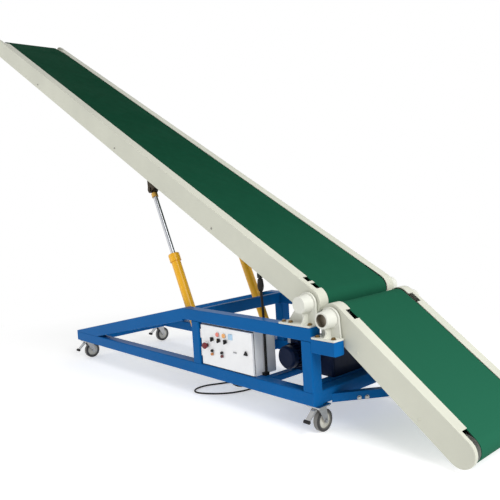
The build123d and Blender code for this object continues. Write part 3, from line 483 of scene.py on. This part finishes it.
def sprayed_material(name, colour, roughness, dust, peel_share=0.05, gloss_coat=0.0, shine=0.4):
    """Sprayed or powder-coated metal in one colour."""
    material, tree, shader = new_material(name)
    coat = tree.nodes.new("ShaderNodeGroup")
    coat.node_tree = sprayed
    coat.inputs["Colour"].default_value = (*colour, 1)
    coat.inputs["Roughness"].default_value = roughness
    coat.inputs["Dust"].default_value = dust
    coat.inputs["Peel"].default_value = peel_share
    shader.inputs["Specular IOR Level"].default_value = shine
    shader.inputs["Coat Weight"].default_value = gloss_coat
    shader.inputs["Coat Roughness"].default_value = 0.12
    tree.links.new(coat.outputs["Colour"], shader.inputs["Base Color"])
    tree.links.new(coat.outputs["Roughness"], shader.inputs["Roughness"])
    tree.links.new(coat.outputs["Normal"], shader.inputs["Normal"])
    return material


blue_enamel = sprayed_material("blue_enamel", (0.002, 0.115, 0.36), 0.36, 0.03, 0.05, 0.02, 0.04)
dress(blue_enamel, "base_rails", "base_crossbars", "posts", "top_rails", "top_crossbar", "sloping_rails",
      "infeed_rails", "tow_frame", "lower_lugs")


# Weld beads
# Rippled fillet welds in the corners where posts and crossbars meet the rails.  They are laid
# by hand, and painted over with the frame.
def add_turned(mesh, profile, place, direction, segments=24, spin=0.0):
    """Adds a turned form to a mesh: profile is (radius, height) from place along direction."""
    turn = Vector(direction).to_track_quat("Z", "Y").to_matrix().to_4x4()
    seat = Matrix.Translation(Vector(place)) @ turn
    rings = []
    for radius, height in profile:
        ring = []
        for step in range(segments):
            angle = spin + 2 * math.pi * step / segments
            spot = Vector((radius * math.cos(angle), radius * math.sin(angle), height))
            ring.append(mesh.verts.new(seat @ spot))
        rings.append(ring)
    for below, above in zip(rings, rings[1:]):
        for step in range(segments):
            after = (step + 1) % segments
            mesh.faces.new((below[step], below[after], above[after], above[step]))
    mesh.faces.new(list(reversed(rings[0])))
    mesh.faces.new(rings[-1])


crease_angle = math.radians(40)


def new_piece(name, mesh, material, body):
    """Makes a piece of a mesh, smooth except at its sharp edges, that rides on a body."""
    data = bpy.data.meshes.new(name)
    mesh.to_mesh(data)
    mesh.free()
    for polygon in data.polygons:
        polygon.use_smooth = True
    data.set_sharp_from_angle(angle=crease_angle)
    data.materials.append(material)
    piece = bpy.data.objects.new(name, data)
    scene.collection.objects.link(piece)
    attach(piece, body)
    return piece


bead_tip_share = 0.3
bead_taper = 6


def add_bead(mesh, start, end, radius=0.0042, ripple=0.0007, pitch=0.006):
    """Adds a rippled weld bead between two points, with thinner ends."""
    run = Vector(end) - Vector(start)
    steps = max(8, int(2 * run.length / pitch))
    profile = []
    for step in range(steps + 1):
        share = step / steps
        swell = min(1, bead_taper * share, bead_taper * (1 - share))
        thick = (1 - bead_tip_share) * radius + ripple * (-1) ** step
        profile.append((bead_tip_share * radius + thick * swell, share * run.length))
    add_turned(mesh, profile, start, run, 8)


tube = 0.080
rail_low, rail_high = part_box("base_rails")
post_low, post_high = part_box("posts")
rail_inner = rail_high.y - tube
bead_half = 0.030
bead_inset = 0.01
cross_low, cross_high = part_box("top_crossbar")
lug_low, lug_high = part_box("lower_lugs")
bar_x = (lug_low.x + lug_high.x) / 2
upright_seams = [(face_x, cross_low.z, cross_high.z) for face_x in (cross_low.x, cross_high.x)]
for face_x in (bar_x - tube / 2, bar_x + tube / 2, rail_high.x - tube):
    upright_seams.append((face_x, rail_low.z, rail_high.z))
beads = bmesh.new()
for side in (-1, 1):
    post_y = side * (rail_high.y - tube / 2)
    for post_face in (post_low.x, post_low.x + tube, post_high.x - tube):
        for seam_z in (post_low.z, post_high.z):
            add_bead(beads, (post_face, post_y - bead_half, seam_z), (post_face, post_y + bead_half, seam_z))
    for face_x, seam_low, seam_high in upright_seams:
        bead_start = (face_x, side * rail_inner, seam_low + bead_inset)
        bead_end = (face_x, side * rail_inner, seam_high - bead_inset)
        add_bead(beads, bead_start, bead_end)
new_piece("weld_beads", beads, blue_enamel, "chassis")

# Casters
# Zinc-plated plates and pressed forks with a brake pedal and a black foot pad, bolted under
# the rails; pale nylon hubs, grimy at the rim, in black tyres that are scuffed where they run.

# Shared by bare and plated metal: streaks of duller metal, uneven gloss and a faint grain
drawn, given, made = new_group(
    "drawn_metal",
    [("Colour", "NodeSocketColor"), ("Stretch", "NodeSocketVector"), ("Smooth", "NodeSocketFloat"),
     ("Rough", "NodeSocketFloat")],
    [("Colour", "NodeSocketColor"), ("Roughness", "NodeSocketFloat"), ("Normal", "NodeSocketVector")],
)
place = drawn.nodes.new("ShaderNodeTexCoord")
pull = drawn.nodes.new("ShaderNodeVectorMath")
pull.operation = "MULTIPLY"
streak = drawn.nodes.new("ShaderNodeTexNoise")
streak.inputs["Scale"].default_value = 1.0
streak.inputs["Detail"].default_value = 4.0
tone = drawn.nodes.new("ShaderNodeMapRange")
tone.inputs["From Min"].default_value = 0.3
tone.inputs["From Max"].default_value = 0.7
tone.inputs["To Max"].default_value = 0.30
dull = drawn.nodes.new("ShaderNodeMix")
dull.data_type = "RGBA"
dull.blend_type = "MULTIPLY"
dull.inputs["B"].default_value = (0.50, 0.50, 0.52, 1)
grade = drawn.nodes.new("ShaderNodeMapRange")
bump = drawn.nodes.new("ShaderNodeBump")
bump.inputs["Strength"].default_value = 0.05
bump.inputs["Distance"].default_value = 0.0004
drawn.links.new(place.outputs["Object"], pull.inputs[0])
drawn.links.new(given.outputs["Stretch"], pull.inputs[1])
drawn.links.new(pull.outputs["Vector"], streak.inputs["Vector"])
drawn.links.new(streak.outputs["Fac"], tone.inputs["Value"])
drawn.links.new(tone.outputs["Result"], dull.inputs["Factor"])
drawn.links.new(given.outputs["Colour"], dull.inputs["A"])
drawn.links.new(streak.outputs["Fac"], grade.inputs["Value"])
drawn.links.new(given.outputs["Smooth"], grade.inputs["To Min"])
drawn.links.new(given.outputs["Rough"], grade.inputs["To Max"])
drawn.links.new(streak.outputs["Fac"], bump.inputs["Height"])
drawn.links.new(dull.outputs["Result"], made.inputs["Colour"])
drawn.links.new(grade.outputs["Result"], made.inputs["Roughness"])
drawn.links.new(bump.outputs["Normal"], made.inputs["Normal"])


def drawn_material(name, colour, stretch, smooth, rough):
    """Bare or plated metal with streaks along the axis that is stretched least."""
    material, tree, shader = new_material(name)
    metal = tree.nodes.new("ShaderNodeGroup")
    metal.node_tree = drawn
    metal.inputs["Colour"].default_value = (*colour, 1)
    metal.inputs["Stretch"].default_value = stretch
    metal.inputs["Smooth"].default_value = smooth
    metal.inputs["Rough"].default_value = rough
    shader.inputs["Metallic"].default_value = 1.0
    tree.links.new(metal.outputs["Colour"], shader.inputs["Base Color"])
    tree.links.new(metal.outputs["Roughness"], shader.inputs["Roughness"])
    tree.links.new(metal.outputs["Normal"], shader.inputs["Normal"])
    return material


zinc = drawn_material("zinc_plate", (0.46, 0.46, 0.46), (30, 30, 60), 0.12, 0.34)

# The distance from the axle, as a share of the hub's diameter, marks the grimy rim
nylon, tree, shader = new_material("grey_nylon")
skin = tree.nodes.new("ShaderNodeGroup")
skin.node_tree = moulded
skin.inputs["Bloom"].default_value = 0.20
skin.inputs["Grain"].default_value = 500.0
place = tree.nodes.new("ShaderNodeTexCoord")
from_axle = tree.nodes.new("ShaderNodeVectorMath")
from_axle.operation = "SUBTRACT"
from_axle.inputs[1].default_value = (0.5, 0.5, 0.5)
in_plane = tree.nodes.new("ShaderNodeVectorMath")
in_plane.operation = "MULTIPLY"
in_plane.inputs[1].default_value = (0, 1, 1)
radius_share = tree.nodes.new("ShaderNodeVectorMath")
radius_share.operation = "LENGTH"
rim = tree.nodes.new("ShaderNodeMapRange")
rim.inputs["From Min"].default_value = 0.40
rim.inputs["From Max"].default_value = 0.44
grimy = tree.nodes.new("ShaderNodeMix")
grimy.data_type = "RGBA"
grimy.inputs["A"].default_value = (0.62, 0.60, 0.53, 1)
grimy.inputs["B"].default_value = (0.012, 0.012, 0.012, 1)
tree.links.new(place.outputs["Generated"], from_axle.inputs[0])
tree.links.new(from_axle.outputs["Vector"], in_plane.inputs[0])
tree.links.new(in_plane.outputs["Vector"], radius_share.inputs[0])
tree.links.new(radius_share.outputs["Value"], rim.inputs["Value"])
tree.links.new(rim.outputs["Result"], grimy.inputs["Factor"])
tree.links.new(grimy.outputs["Result"], skin.inputs["Colour"])
tree.links.new(skin.outputs["Colour"], shader.inputs["Base Color"])
tree.links.new(skin.outputs["Roughness"], shader.inputs["Roughness"])
tree.links.new(skin.outputs["Normal"], shader.inputs["Normal"])

# Faces that look along the axle are the dark sides, and the others are the scuffed tread
tread_rubber, tree, shader = new_material("tread_rubber")
skin = tree.nodes.new("ShaderNodeGroup")
skin.node_tree = moulded
skin.inputs["Bloom"].default_value = 0.06
skin.inputs["Grain"].default_value = 420.0
sides_dark = (0.010, 0.010, 0.010, 1)
tread_pale = (0.16, 0.155, 0.145, 1)
place = tree.nodes.new("ShaderNodeTexCoord")
axle_share = tree.nodes.new("ShaderNodeSeparateXYZ")
square = tree.nodes.new("ShaderNodeMath")
square.operation = "POWER"
square.inputs[1].default_value = 2.0
pale = tree.nodes.new("ShaderNodeMapRange")
pale.inputs["From Min"].default_value = 0.10
pale.inputs["From Max"].default_value = 0.45
pale.inputs["To Min"].default_value = 1.0
pale.inputs["To Max"].default_value = 0.0
scuff = tree.nodes.new("ShaderNodeMix")
scuff.data_type = "RGBA"
scuff.inputs["A"].default_value = sides_dark
scuff.inputs["B"].default_value = tread_pale
tree.links.new(place.outputs["Normal"], axle_share.inputs["Vector"])
tree.links.new(axle_share.outputs["X"], square.inputs[0])
tree.links.new(square.outputs["Value"], pale.inputs["Value"])
tree.links.new(pale.outputs["Result"], scuff.inputs["Factor"])
tree.links.new(scuff.outputs["Result"], skin.inputs["Colour"])
tree.links.new(skin.outputs["Colour"], shader.inputs["Base Color"])
tree.links.new(skin.outputs["Roughness"], shader.inputs["Roughness"])
tree.links.new(skin.outputs["Normal"], shader.inputs["Normal"])

dress(zinc, "caster_plates")
plate_bolts = bmesh.new()
bolt_across = 0.038
bolt_along = 0.043
plate_sheet = 0.006
plate_under = rail_low.z - plate_sheet
plate_bolt_profile = [(0.0095, 0), (0.0095, 0.0055)]
pedal_reach = 0.104
pedal_z = 0.090
pad_profile = [(0.0085, -0.0215), (0.0108, -0.0195), (0.0108, 0.0195), (0.0085, 0.0215)]
for corner in ("near_left", "far_left", "near_right", "far_right"):
    dress(zinc, f"fork_{corner}")
    dress(nylon, f"hub_{corner}")
    dress(tread_rubber, f"tyre_{corner}")
    swivel = joint_place[f"swivel_{corner}"]
    for across in (-bolt_across, bolt_across):
        for along in (-bolt_along, bolt_along):
            spot = (swivel.x + across, swivel.y + along, plate_under)
            add_turned(plate_bolts, plate_bolt_profile, spot, (0, 0, -1), 6)
    pad = bmesh.new()
    add_turned(pad, pad_profile, (swivel.x, swivel.y - pedal_reach, pedal_z), (1, 0, 0), 20)
    new_piece(f"pedal_pad_{corner}", pad, black_rubber, f"caster_{corner}")
new_piece("caster_bolts", plate_bolts, zinc, "chassis")

# Tow frame bolts
# Bright zinc hexagon bolts on round washers, two screwed into the outside of each arm of the
# tow frame.
tow_half_width = 0.290
tow_length = 0.202
tow_height = 0.166
tow_bolt_reaches = (0.162, 0.209)
tow_washer_profile = [(0.0135, 0), (0.0135, 0.0025)]
tow_head_profile = [(0.0100, 0.0020), (0.0110, 0.0030), (0.0110, 0.0090), (0.0092, 0.0105)]
tow_root = Vector((rail_high.x, tow_half_width, tow_height))
arm_run = Vector((tow_length, tow_half_width, 0)).normalized()
tow_bolts = bmesh.new()
for side in (-1, 1):
    for reach in tow_bolt_reaches:
        spot = (tow_root.x + reach * arm_run.x, side * (tow_root.y - reach * arm_run.y), tow_root.z)
        out = (arm_run.y, side * arm_run.x, 0)
        add_turned(tow_bolts, tow_washer_profile, spot, out, 24)
        add_turned(tow_bolts, tow_head_profile, spot, out, 6)
new_piece("tow_bolts", tow_bolts, zinc, "chassis")

# Pivot blocks
# Cast iron blocks, sprayed ivory white, that carry the tail shafts of both belts.  Yellow
# zinc bolts hold their feet down on the rails.
cast_white = sprayed_material("cast_white", (0.73, 0.735, 0.66), 0.42, 0.12, 0.30, 0.0, 0.3)
dress(cast_white, "boom_blocks", "infeed_blocks")
yellow_zinc = drawn_material("yellow_zinc", (0.26, 0.17, 0.07), (60, 60, 60), 0.26, 0.50)
head_profile = [(0.0105, 0.003), (0.0115, 0.004), (0.0115, 0.010), (0.0095, 0.0115)]
washer_profile = [(0.0150, 0.0), (0.0150, 0.003)]
foot_y = 0.414
foot_bolt_rows = [
    # blocks, joint on their bore, places of the bolts along the rail from the pivot
    ("boom_blocks", "boom_lift", (-0.150, -0.095, 0.056)),
    ("infeed_blocks", "infeed_tilt", (-0.056, 0.060)),
]
foot_bolts = bmesh.new()
foot_height = 0.010
for block, joint, offsets in foot_bolt_rows:
    seat_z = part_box(block)[0].z + foot_height
    for side in (-1, 1):
        for offset in offsets:
            spot = (joint_place[joint].x + offset, side * foot_y, seat_z)
            add_turned(foot_bolts, washer_profile, spot, (0, 0, 1), 24)
            head_spin = 0.3 + 5 * offset
            add_turned(foot_bolts, head_profile, spot, (0, 0, 1), 6, head_spin)
new_piece("block_bolts", foot_bolts, yellow_zinc, "chassis")

# Bearing bushes
# Steel cups, pressed into the open ends of the infeed's bosses; their dark brown-grey is
# painted shade inside the bores.  Each is closed at its inner end.
bush_painted_shade = drawn_material("bush_painted_shade", (0.30, 0.27, 0.22), (40, 40, 40), 0.36, 0.60)
bush_profile = [(0.0368, 0), (0.0368, 0.036), (0.0352, 0.037), (0.0346, 0.036), (0.0346, 0.003)]
bush_depth = 0.0395
bushes = bmesh.new()
block_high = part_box("infeed_blocks")[1]
infeed_axis = joint_place["infeed_tilt"]
for side in (-1, 1):
    spot = (infeed_axis.x, side * (block_high.y - bush_depth), infeed_axis.z)
    add_turned(bushes, bush_profile, spot, (0, side, 0), 40)
new_piece("boss_bushes", bushes, bush_painted_shade, "chassis")

# Side panels
# Steel sheet folded inward and powder-coated ivory, with small pan-head screws on the webs
# where the crossbars are fixed.
ivory = sprayed_material("ivory_coat", (0.64, 0.645, 0.545), 0.42, 0.08, 0.02, 0.0, 0.2)
dress(ivory, "boom_side_panels", "infeed_side_panels", "boom_crossbars", "infeed_crossbars")
boom_slope = math.radians(28.6)
infeed_slope = math.radians(37.1)
boom_along = Vector((-math.cos(boom_slope), 0, math.sin(boom_slope)))
boom_square = Vector((math.sin(boom_slope), 0, math.cos(boom_slope)))
infeed_along = Vector((math.cos(infeed_slope), 0, -math.sin(infeed_slope)))
infeed_square = Vector((math.sin(infeed_slope), 0, math.cos(infeed_slope)))
web_face = 0.352
dark_zinc = drawn_material("dark_zinc", (0.20, 0.19, 0.17), (60, 60, 60), 0.30, 0.50)
screw_profile = [(0.0075, 0.0), (0.0075, 0.0012), (0.0062, 0.0030), (0.0032, 0.0036)]
screw_rows = [
    # belt, origin, along, square, stations of the screws, height
    ("boom", joint_place["boom_lift"], boom_along, boom_square, (0.963, 2.330, 3.885), -0.035),
    ("infeed", joint_place["infeed_tilt"], infeed_along, infeed_square, (0.240, 0.700), -0.035),
]
for belt, origin, along, square, stations, height in screw_rows:
    screws = bmesh.new()
    for side in (-1, 1):
        for station in stations:
            spot = origin + along * station + square * height + Vector((0, side * web_face, 0))
            add_turned(screws, screw_profile, spot, (0, side, 0), 20)
    new_piece(f"{belt}_screws", screws, dark_zinc if belt == "boom" else ivory, belt)

# Slot cover
# A thin strip of the same ivory sheet, laid over the two slots in the far flange of the boom
# beside the pivot.
flange_rise = 0.088
cover_sheet = 0.0012
cover_station = 0.070
cover_side = 0.3105
cover_size = (0.142, 0.067, cover_sheet)
cover = bmesh.new()
bmesh.ops.create_cube(cover, size=1.0, matrix=Matrix.Diagonal((*cover_size, 1)))
cover_seat = Matrix((boom_along, (0, 1, 0), boom_square)).transposed().to_4x4()
cover_place = joint_place["boom_lift"] + boom_along * cover_station + Vector((0, cover_side, 0))
cover_seat.translation = cover_place + boom_square * (flange_rise + cover_sheet / 2)
bmesh.ops.transform(cover, matrix=cover_seat, verts=cover.verts)
bmesh.ops.recalc_face_normals(cover, faces=cover.faces)
new_piece("slot_cover", cover, ivory, "boom")


# Belts
# Green rubber-faced belting, vulcanised into loops: a fine cloth grain, faint scuffs along
# its run, and painted light that makes it paler toward the loading end.
boom_tip_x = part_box("boom_belt")[0].x
loading_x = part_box("infeed_belt")[1].x


def belt_material(name, slope):
    """Belt facing with its grain turned to run along a belt of that slope."""
    material, tree, shader = new_material(name)
    place = tree.nodes.new("ShaderNodeTexCoord")
    lay = tree.nodes.new("ShaderNodeMapping")
    lay.inputs["Rotation"].default_value = (0, slope, 0)
    scuffs = tree.nodes.new("ShaderNodeVectorMath")
    scuffs.operation = "MULTIPLY"
    scuffs.inputs[1].default_value = (0.9, 14.0, 14.0)
    scuff = tree.nodes.new("ShaderNodeTexNoise")
    scuff.inputs["Scale"].default_value = 1.0
    scuff.inputs["Detail"].default_value = 6.0
    cloud = tree.nodes.new("ShaderNodeTexNoise")
    cloud.inputs["Scale"].default_value = 2.0
    cloud.inputs["Detail"].default_value = 4.0
    share = tree.nodes.new("ShaderNodeMapRange")
    share.inputs["From Min"].default_value = 0.35
    share.inputs["From Max"].default_value = 0.75
    share.inputs["To Max"].default_value = 0.35
    worn = tree.nodes.new("ShaderNodeMix")
    worn.data_type = "RGBA"
    worn.inputs["A"].default_value = (0.002, 0.039, 0.018, 1)
    worn.inputs["B"].default_value = (0.005, 0.062, 0.032, 1)
    # Painted light: a paler green is mixed in more and more toward the loading end, where the belts are more
    # brightly lit.
    axes = tree.nodes.new("ShaderNodeSeparateXYZ")
    nearness = tree.nodes.new("ShaderNodeMapRange")
    nearness.inputs["From Min"].default_value = boom_tip_x
    nearness.inputs["From Max"].default_value = loading_x
    painted_light_share = tree.nodes.new("ShaderNodeMath")
    painted_light_share.operation = "POWER"
    painted_light_share.inputs[1].default_value = 3.0
    dust_and_painted_light = tree.nodes.new("ShaderNodeMix")
    dust_and_painted_light.data_type = "RGBA"
    dust_and_painted_light.inputs["B"].default_value = (0.018, 0.124, 0.070, 1)
    gloss = tree.nodes.new("ShaderNodeMapRange")
    gloss.inputs["To Min"].default_value = 0.62
    gloss.inputs["To Max"].default_value = 0.85
    warp = tree.nodes.new("ShaderNodeTexWave")
    warp.inputs["Scale"].default_value = 120.0
    weft = tree.nodes.new("ShaderNodeTexWave")
    weft.bands_direction = "Y"
    weft.inputs["Scale"].default_value = 120.0
    cloth = tree.nodes.new("ShaderNodeMath")
    cloth.operation = "ADD"
    bump = tree.nodes.new("ShaderNodeBump")
    bump.inputs["Strength"].default_value = 0.10
    bump.inputs["Distance"].default_value = 0.0006
    tree.links.new(place.outputs["Object"], lay.inputs["Vector"])
    tree.links.new(lay.outputs["Vector"], scuffs.inputs[0])
    tree.links.new(scuffs.outputs["Vector"], scuff.inputs["Vector"])
    tree.links.new(place.outputs["Object"], cloud.inputs["Vector"])
    tree.links.new(scuff.outputs["Fac"], share.inputs["Value"])
    tree.links.new(share.outputs["Result"], worn.inputs["Factor"])
    tree.links.new(cloud.outputs["Fac"], gloss.inputs["Value"])
    tree.links.new(lay.outputs["Vector"], warp.inputs["Vector"])
    tree.links.new(lay.outputs["Vector"], weft.inputs["Vector"])
    tree.links.new(warp.outputs["Fac"], cloth.inputs[0])
    tree.links.new(weft.outputs["Fac"], cloth.inputs[1])
    tree.links.new(cloth.outputs["Value"], bump.inputs["Height"])
    tree.links.new(place.outputs["Object"], axes.inputs["Vector"])
    tree.links.new(axes.outputs["X"], nearness.inputs["Value"])
    tree.links.new(nearness.outputs["Result"], painted_light_share.inputs[0])
    tree.links.new(painted_light_share.outputs["Value"], dust_and_painted_light.inputs["Factor"])
    tree.links.new(worn.outputs["Result"], dust_and_painted_light.inputs["A"])
    tree.links.new(dust_and_painted_light.outputs["Result"], shader.inputs["Base Color"])
    tree.links.new(gloss.outputs["Result"], shader.inputs["Roughness"])
    tree.links.new(bump.outputs["Normal"], shader.inputs["Normal"])
    shader.inputs["Specular IOR Level"].default_value = 0.015
    return material


dress(belt_material("boom_belt_face", boom_slope), "boom_belt")
dress(belt_material("infeed_belt_face", -infeed_slope), "infeed_belt")

# Drums and slider beds
# Turned steel drums on steel shafts, and plain steel plates under the carrying runs, which
# keep the loaded belts flat.
turned_steel = drawn_material("turned_steel", (0.56, 0.57, 0.58), (90, 4, 90), 0.26, 0.48)
dress(turned_steel, "boom_drums", "infeed_drums", "boom_bed", "infeed_bed")

# Lift cylinders
# Two hydraulic cylinders, pinned to lugs on the chassis and under the boom: barrels sprayed
# amber yellow, and hard-chromed rods that end in a brass collar under a blackened eye.
amber_enamel = sprayed_material("amber_enamel", (0.90, 0.46, 0.012), 0.33, 0.0, 0.0, 0.0, 0.4)
dress(amber_enamel, "barrel_near", "barrel_far")
blackened_steel = drawn_material("blackened_steel", (0.035, 0.026, 0.016), (50, 50, 50), 0.28, 0.50)
dress(blackened_steel, "boom_lugs")
stroke = Vector(next(joint["axis"] for joint in frame["joints"] if joint["name"] == "rod_slide_near"))
lower_pin = joint_place["barrel_swing_near"]
pin_to_eye = 1.2665
collar_below_eye = 0.067
eye_foot = 0.030
collar_from = pin_to_eye - collar_below_eye
collar_to = pin_to_eye - eye_foot

# The distance from the lower pin along the stroke tells rod, collar and eye apart
chrome_rod, tree, shader = new_material("chrome_rod")
metal = tree.nodes.new("ShaderNodeGroup")
metal.node_tree = drawn
metal.inputs["Colour"].default_value = (0.40, 0.41, 0.43, 1)
metal.inputs["Stretch"].default_value = (6, 6, 2)
metal.inputs["Smooth"].default_value = 0.16
metal.inputs["Rough"].default_value = 0.24
place = tree.nodes.new("ShaderNodeTexCoord")
from_pin = tree.nodes.new("ShaderNodeVectorMath")
from_pin.operation = "SUBTRACT"
from_pin.inputs[1].default_value = lower_pin
run = tree.nodes.new("ShaderNodeVectorMath")
run.operation = "DOT_PRODUCT"
run.inputs[1].default_value = stroke
on_collar = tree.nodes.new("ShaderNodeMath")
on_collar.operation = "GREATER_THAN"
on_collar.inputs[1].default_value = collar_from
on_eye = tree.nodes.new("ShaderNodeMath")
on_eye.operation = "GREATER_THAN"
on_eye.inputs[1].default_value = collar_to
brass = tree.nodes.new("ShaderNodeMix")
brass.data_type = "RGBA"
brass.inputs["B"].default_value = (0.42, 0.25, 0.06, 1)
black = tree.nodes.new("ShaderNodeMix")
black.data_type = "RGBA"
black.inputs["B"].default_value = (0.05, 0.042, 0.032, 1)
dulled = tree.nodes.new("ShaderNodeMix")
dulled.inputs["B"].default_value = 0.42
tree.links.new(place.outputs["Object"], from_pin.inputs[0])
tree.links.new(from_pin.outputs["Vector"], run.inputs[0])
tree.links.new(run.outputs["Value"], on_collar.inputs[0])
tree.links.new(run.outputs["Value"], on_eye.inputs[0])
tree.links.new(on_collar.outputs["Value"], brass.inputs["Factor"])
tree.links.new(metal.outputs["Colour"], brass.inputs["A"])
tree.links.new(on_eye.outputs["Value"], black.inputs["Factor"])
tree.links.new(brass.outputs["Result"], black.inputs["A"])
tree.links.new(on_collar.outputs["Value"], dulled.inputs["Factor"])
tree.links.new(metal.outputs["Roughness"], dulled.inputs["A"])
tree.links.new(black.outputs["Result"], shader.inputs["Base Color"])
tree.links.new(dulled.outputs["Result"], shader.inputs["Roughness"])
shader.inputs["Metallic"].default_value = 1.0
dress(chrome_rod, "rod_near", "rod_far")

# Control box
# A folded steel case, powder-coated white, on the near bottom rail, with a door of the same
# sheet hinged at its left edge.
box_white = sprayed_material("box_white", (0.92, 0.925, 0.93), 0.36, 0.05, 0.05, 0.0)
dress(box_white, "control_case", "control_door")

# Controls on the door
# Moulded heads in plated rings, clamped through the door: a red stop button, three lamps, one
# of them square, three black knobs and two double push buttons.  Beside them are a grey key
# plate and a black latch.
door_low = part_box("control_door")[0]
hinge_to_edge = 0.006
door_left = joint_place["door_swing"].x + hinge_to_edge
door_face = door_low.y
outward = Vector((0, -1, 0))


def on_door(along, up, out=0.0):
    """A point on the door: from its left edge, above its bottom, out from its face."""
    return Vector((door_left + along, door_face - out, door_low.z + up))


stop_red = moulded_material("stop_red", (0.15, 0.005, 0.010), 0.03)
lamp_red = moulded_material("lamp_red", (0.80, 0.22, 0.17), 0.05)
lamp_amber = moulded_material("lamp_amber", (0.85, 0.40, 0.13), 0.05)
lamp_blue = moulded_material("lamp_blue", (0.42, 0.62, 0.80), 0.05)
push_orange = moulded_material("push_orange", (0.50, 0.17, 0.03), 0.05)
push_red = moulded_material("push_red", (0.11, 0.006, 0.010), 0.05)
plate_grey = moulded_material("plate_grey", (0.30, 0.31, 0.32), 0.10)
mark_yellow = moulded_material("mark_yellow", (0.85, 0.55, 0.03), 0.05)

heads = {
    # kind: profile as (radius, height out from the door)
    "stop": [(0.013, 0.005), (0.013, 0.018), (0.0205, 0.0185), (0.0220, 0.022), (0.0215, 0.027),
             (0.018, 0.032), (0.009, 0.034)],
    "lamp": [(0.0150, 0.003), (0.0150, 0.008), (0.0132, 0.0112), (0.0080, 0.013)],
    "knob": [(0.0130, 0.003), (0.0130, 0.0095), (0.0115, 0.011)],
    "button": [(0.0095, 0.004), (0.0095, 0.0145), (0.0080, 0.016)],
}
control_rows = [
    # name, kind, material, along, up, radius of the ring
    ("stop_button", "stop", stop_red, 0.062, 0.136, 0.020),
    ("lamp_1", "lamp", lamp_red, 0.184, 0.223, 0.0172),
    ("lamp_2", "lamp", lamp_amber, 0.250, 0.223, 0.0172),
    ("knob_1", "knob", black_plastic, 0.127, 0.186, 0.014),
    ("knob_2", "knob", black_plastic, 0.196, 0.186, 0.014),
    ("knob_3", "knob", black_plastic, 0.265, 0.186, 0.014),
    ("push_1_upper", "button", black_plastic, 0.121, 0.107, 0.0115),
    ("push_1_lower", "button", push_orange, 0.121, 0.084, 0.0115),
    ("push_2_upper", "button", black_plastic, 0.224, 0.107, 0.0115),
    ("push_2_lower", "button", push_red, 0.224, 0.084, 0.0115),
]
ring_side = 0.003
ring_top = 0.0042
ring_bevel = 0.0015
rings = bmesh.new()
for name, kind, material, along, up, ring in control_rows:
    ring_profile = [(ring, 0), (ring, ring_side), (ring - ring_bevel, ring_top)]
    add_turned(rings, ring_profile, on_door(along, up), outward, 28)
    head = bmesh.new()
    add_turned(head, heads[kind], on_door(along, up), outward, 32)
    new_piece(name, head, material, "box_door")
ring_piece = new_piece("control_rings", rings, zinc, "box_door")
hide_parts("door_controls")


def add_block(mesh, centre, size, round_off=0.0):
    """Adds a box to a mesh, with its edges rounded off if that is given."""
    seat = Matrix.Translation(centre) @ Matrix.Diagonal((*size, 1))
    made = bmesh.ops.create_cube(mesh, size=1.0, matrix=seat)
    if round_off:
        edges = list({edge for vertex in made["verts"] for edge in vertex.link_edges})
        bmesh.ops.bevel(mesh, geom=edges, offset=round_off, segments=3, profile=0.5, affect="EDGES")


grip_size = (0.009, 0.013, 0.030)
grip_out = 0.0155
grip_round = 0.0018
mark_size = (0.0022, 0.0008, 0.0075)
mark_up = 0.0065
mark_out = 0.0222
grips = bmesh.new()
marks = bmesh.new()
for name, kind, material, along, up, ring in control_rows:
    if kind == "knob":
        add_block(grips, on_door(along, up, grip_out), grip_size, grip_round)
        if name == "knob_2":
            add_block(marks, on_door(along, up + mark_up, mark_out), mark_size)
new_piece("knob_grips", grips, black_plastic, "box_door")
new_piece("knob_mark", marks, mark_yellow, "box_door")
block_rows = [
    # name, material, along, up, out to its middle, size, rounding
    ("square_lamp", lamp_blue, 0.316, 0.223, 0.0045, (0.036, 0.009, 0.036), 0.002),
    ("key_plate", plate_grey, 0.352, 0.126, 0.0015, (0.032, 0.003, 0.009), 0.0008),
]
for name, material, along, up, out, size, round_off in block_rows:
    block = bmesh.new()
    add_block(block, on_door(along, up, out), size, round_off)
    new_piece(name, block, material, "box_door")
latch_profile = [(0.0175, 0), (0.0175, 0.012), (0.0155, 0.014)]
latch_along = 0.462
latch_up = 0.134
latch_spin = math.radians(90)
latch = bmesh.new()
add_turned(latch, latch_profile, on_door(latch_along, latch_up), outward, 3, latch_spin)
new_piece("door_latch", latch, black_plastic, "box_door")

# Hydraulic power unit
# A navy enamelled tank with a finned motor on its near side, and a bright steel valve block
# with its valves on the lid.
navy_enamel = sprayed_material("navy_enamel", (0.002, 0.010, 0.040), 0.38, 0.03, 0.06, 0.05, 0.08)
dress(navy_enamel, "tank", "pump_motor")
bright_steel = drawn_material("bright_steel", (0.66, 0.67, 0.69), (25, 25, 70), 0.20, 0.40)
dress(bright_steel, "valve_block")
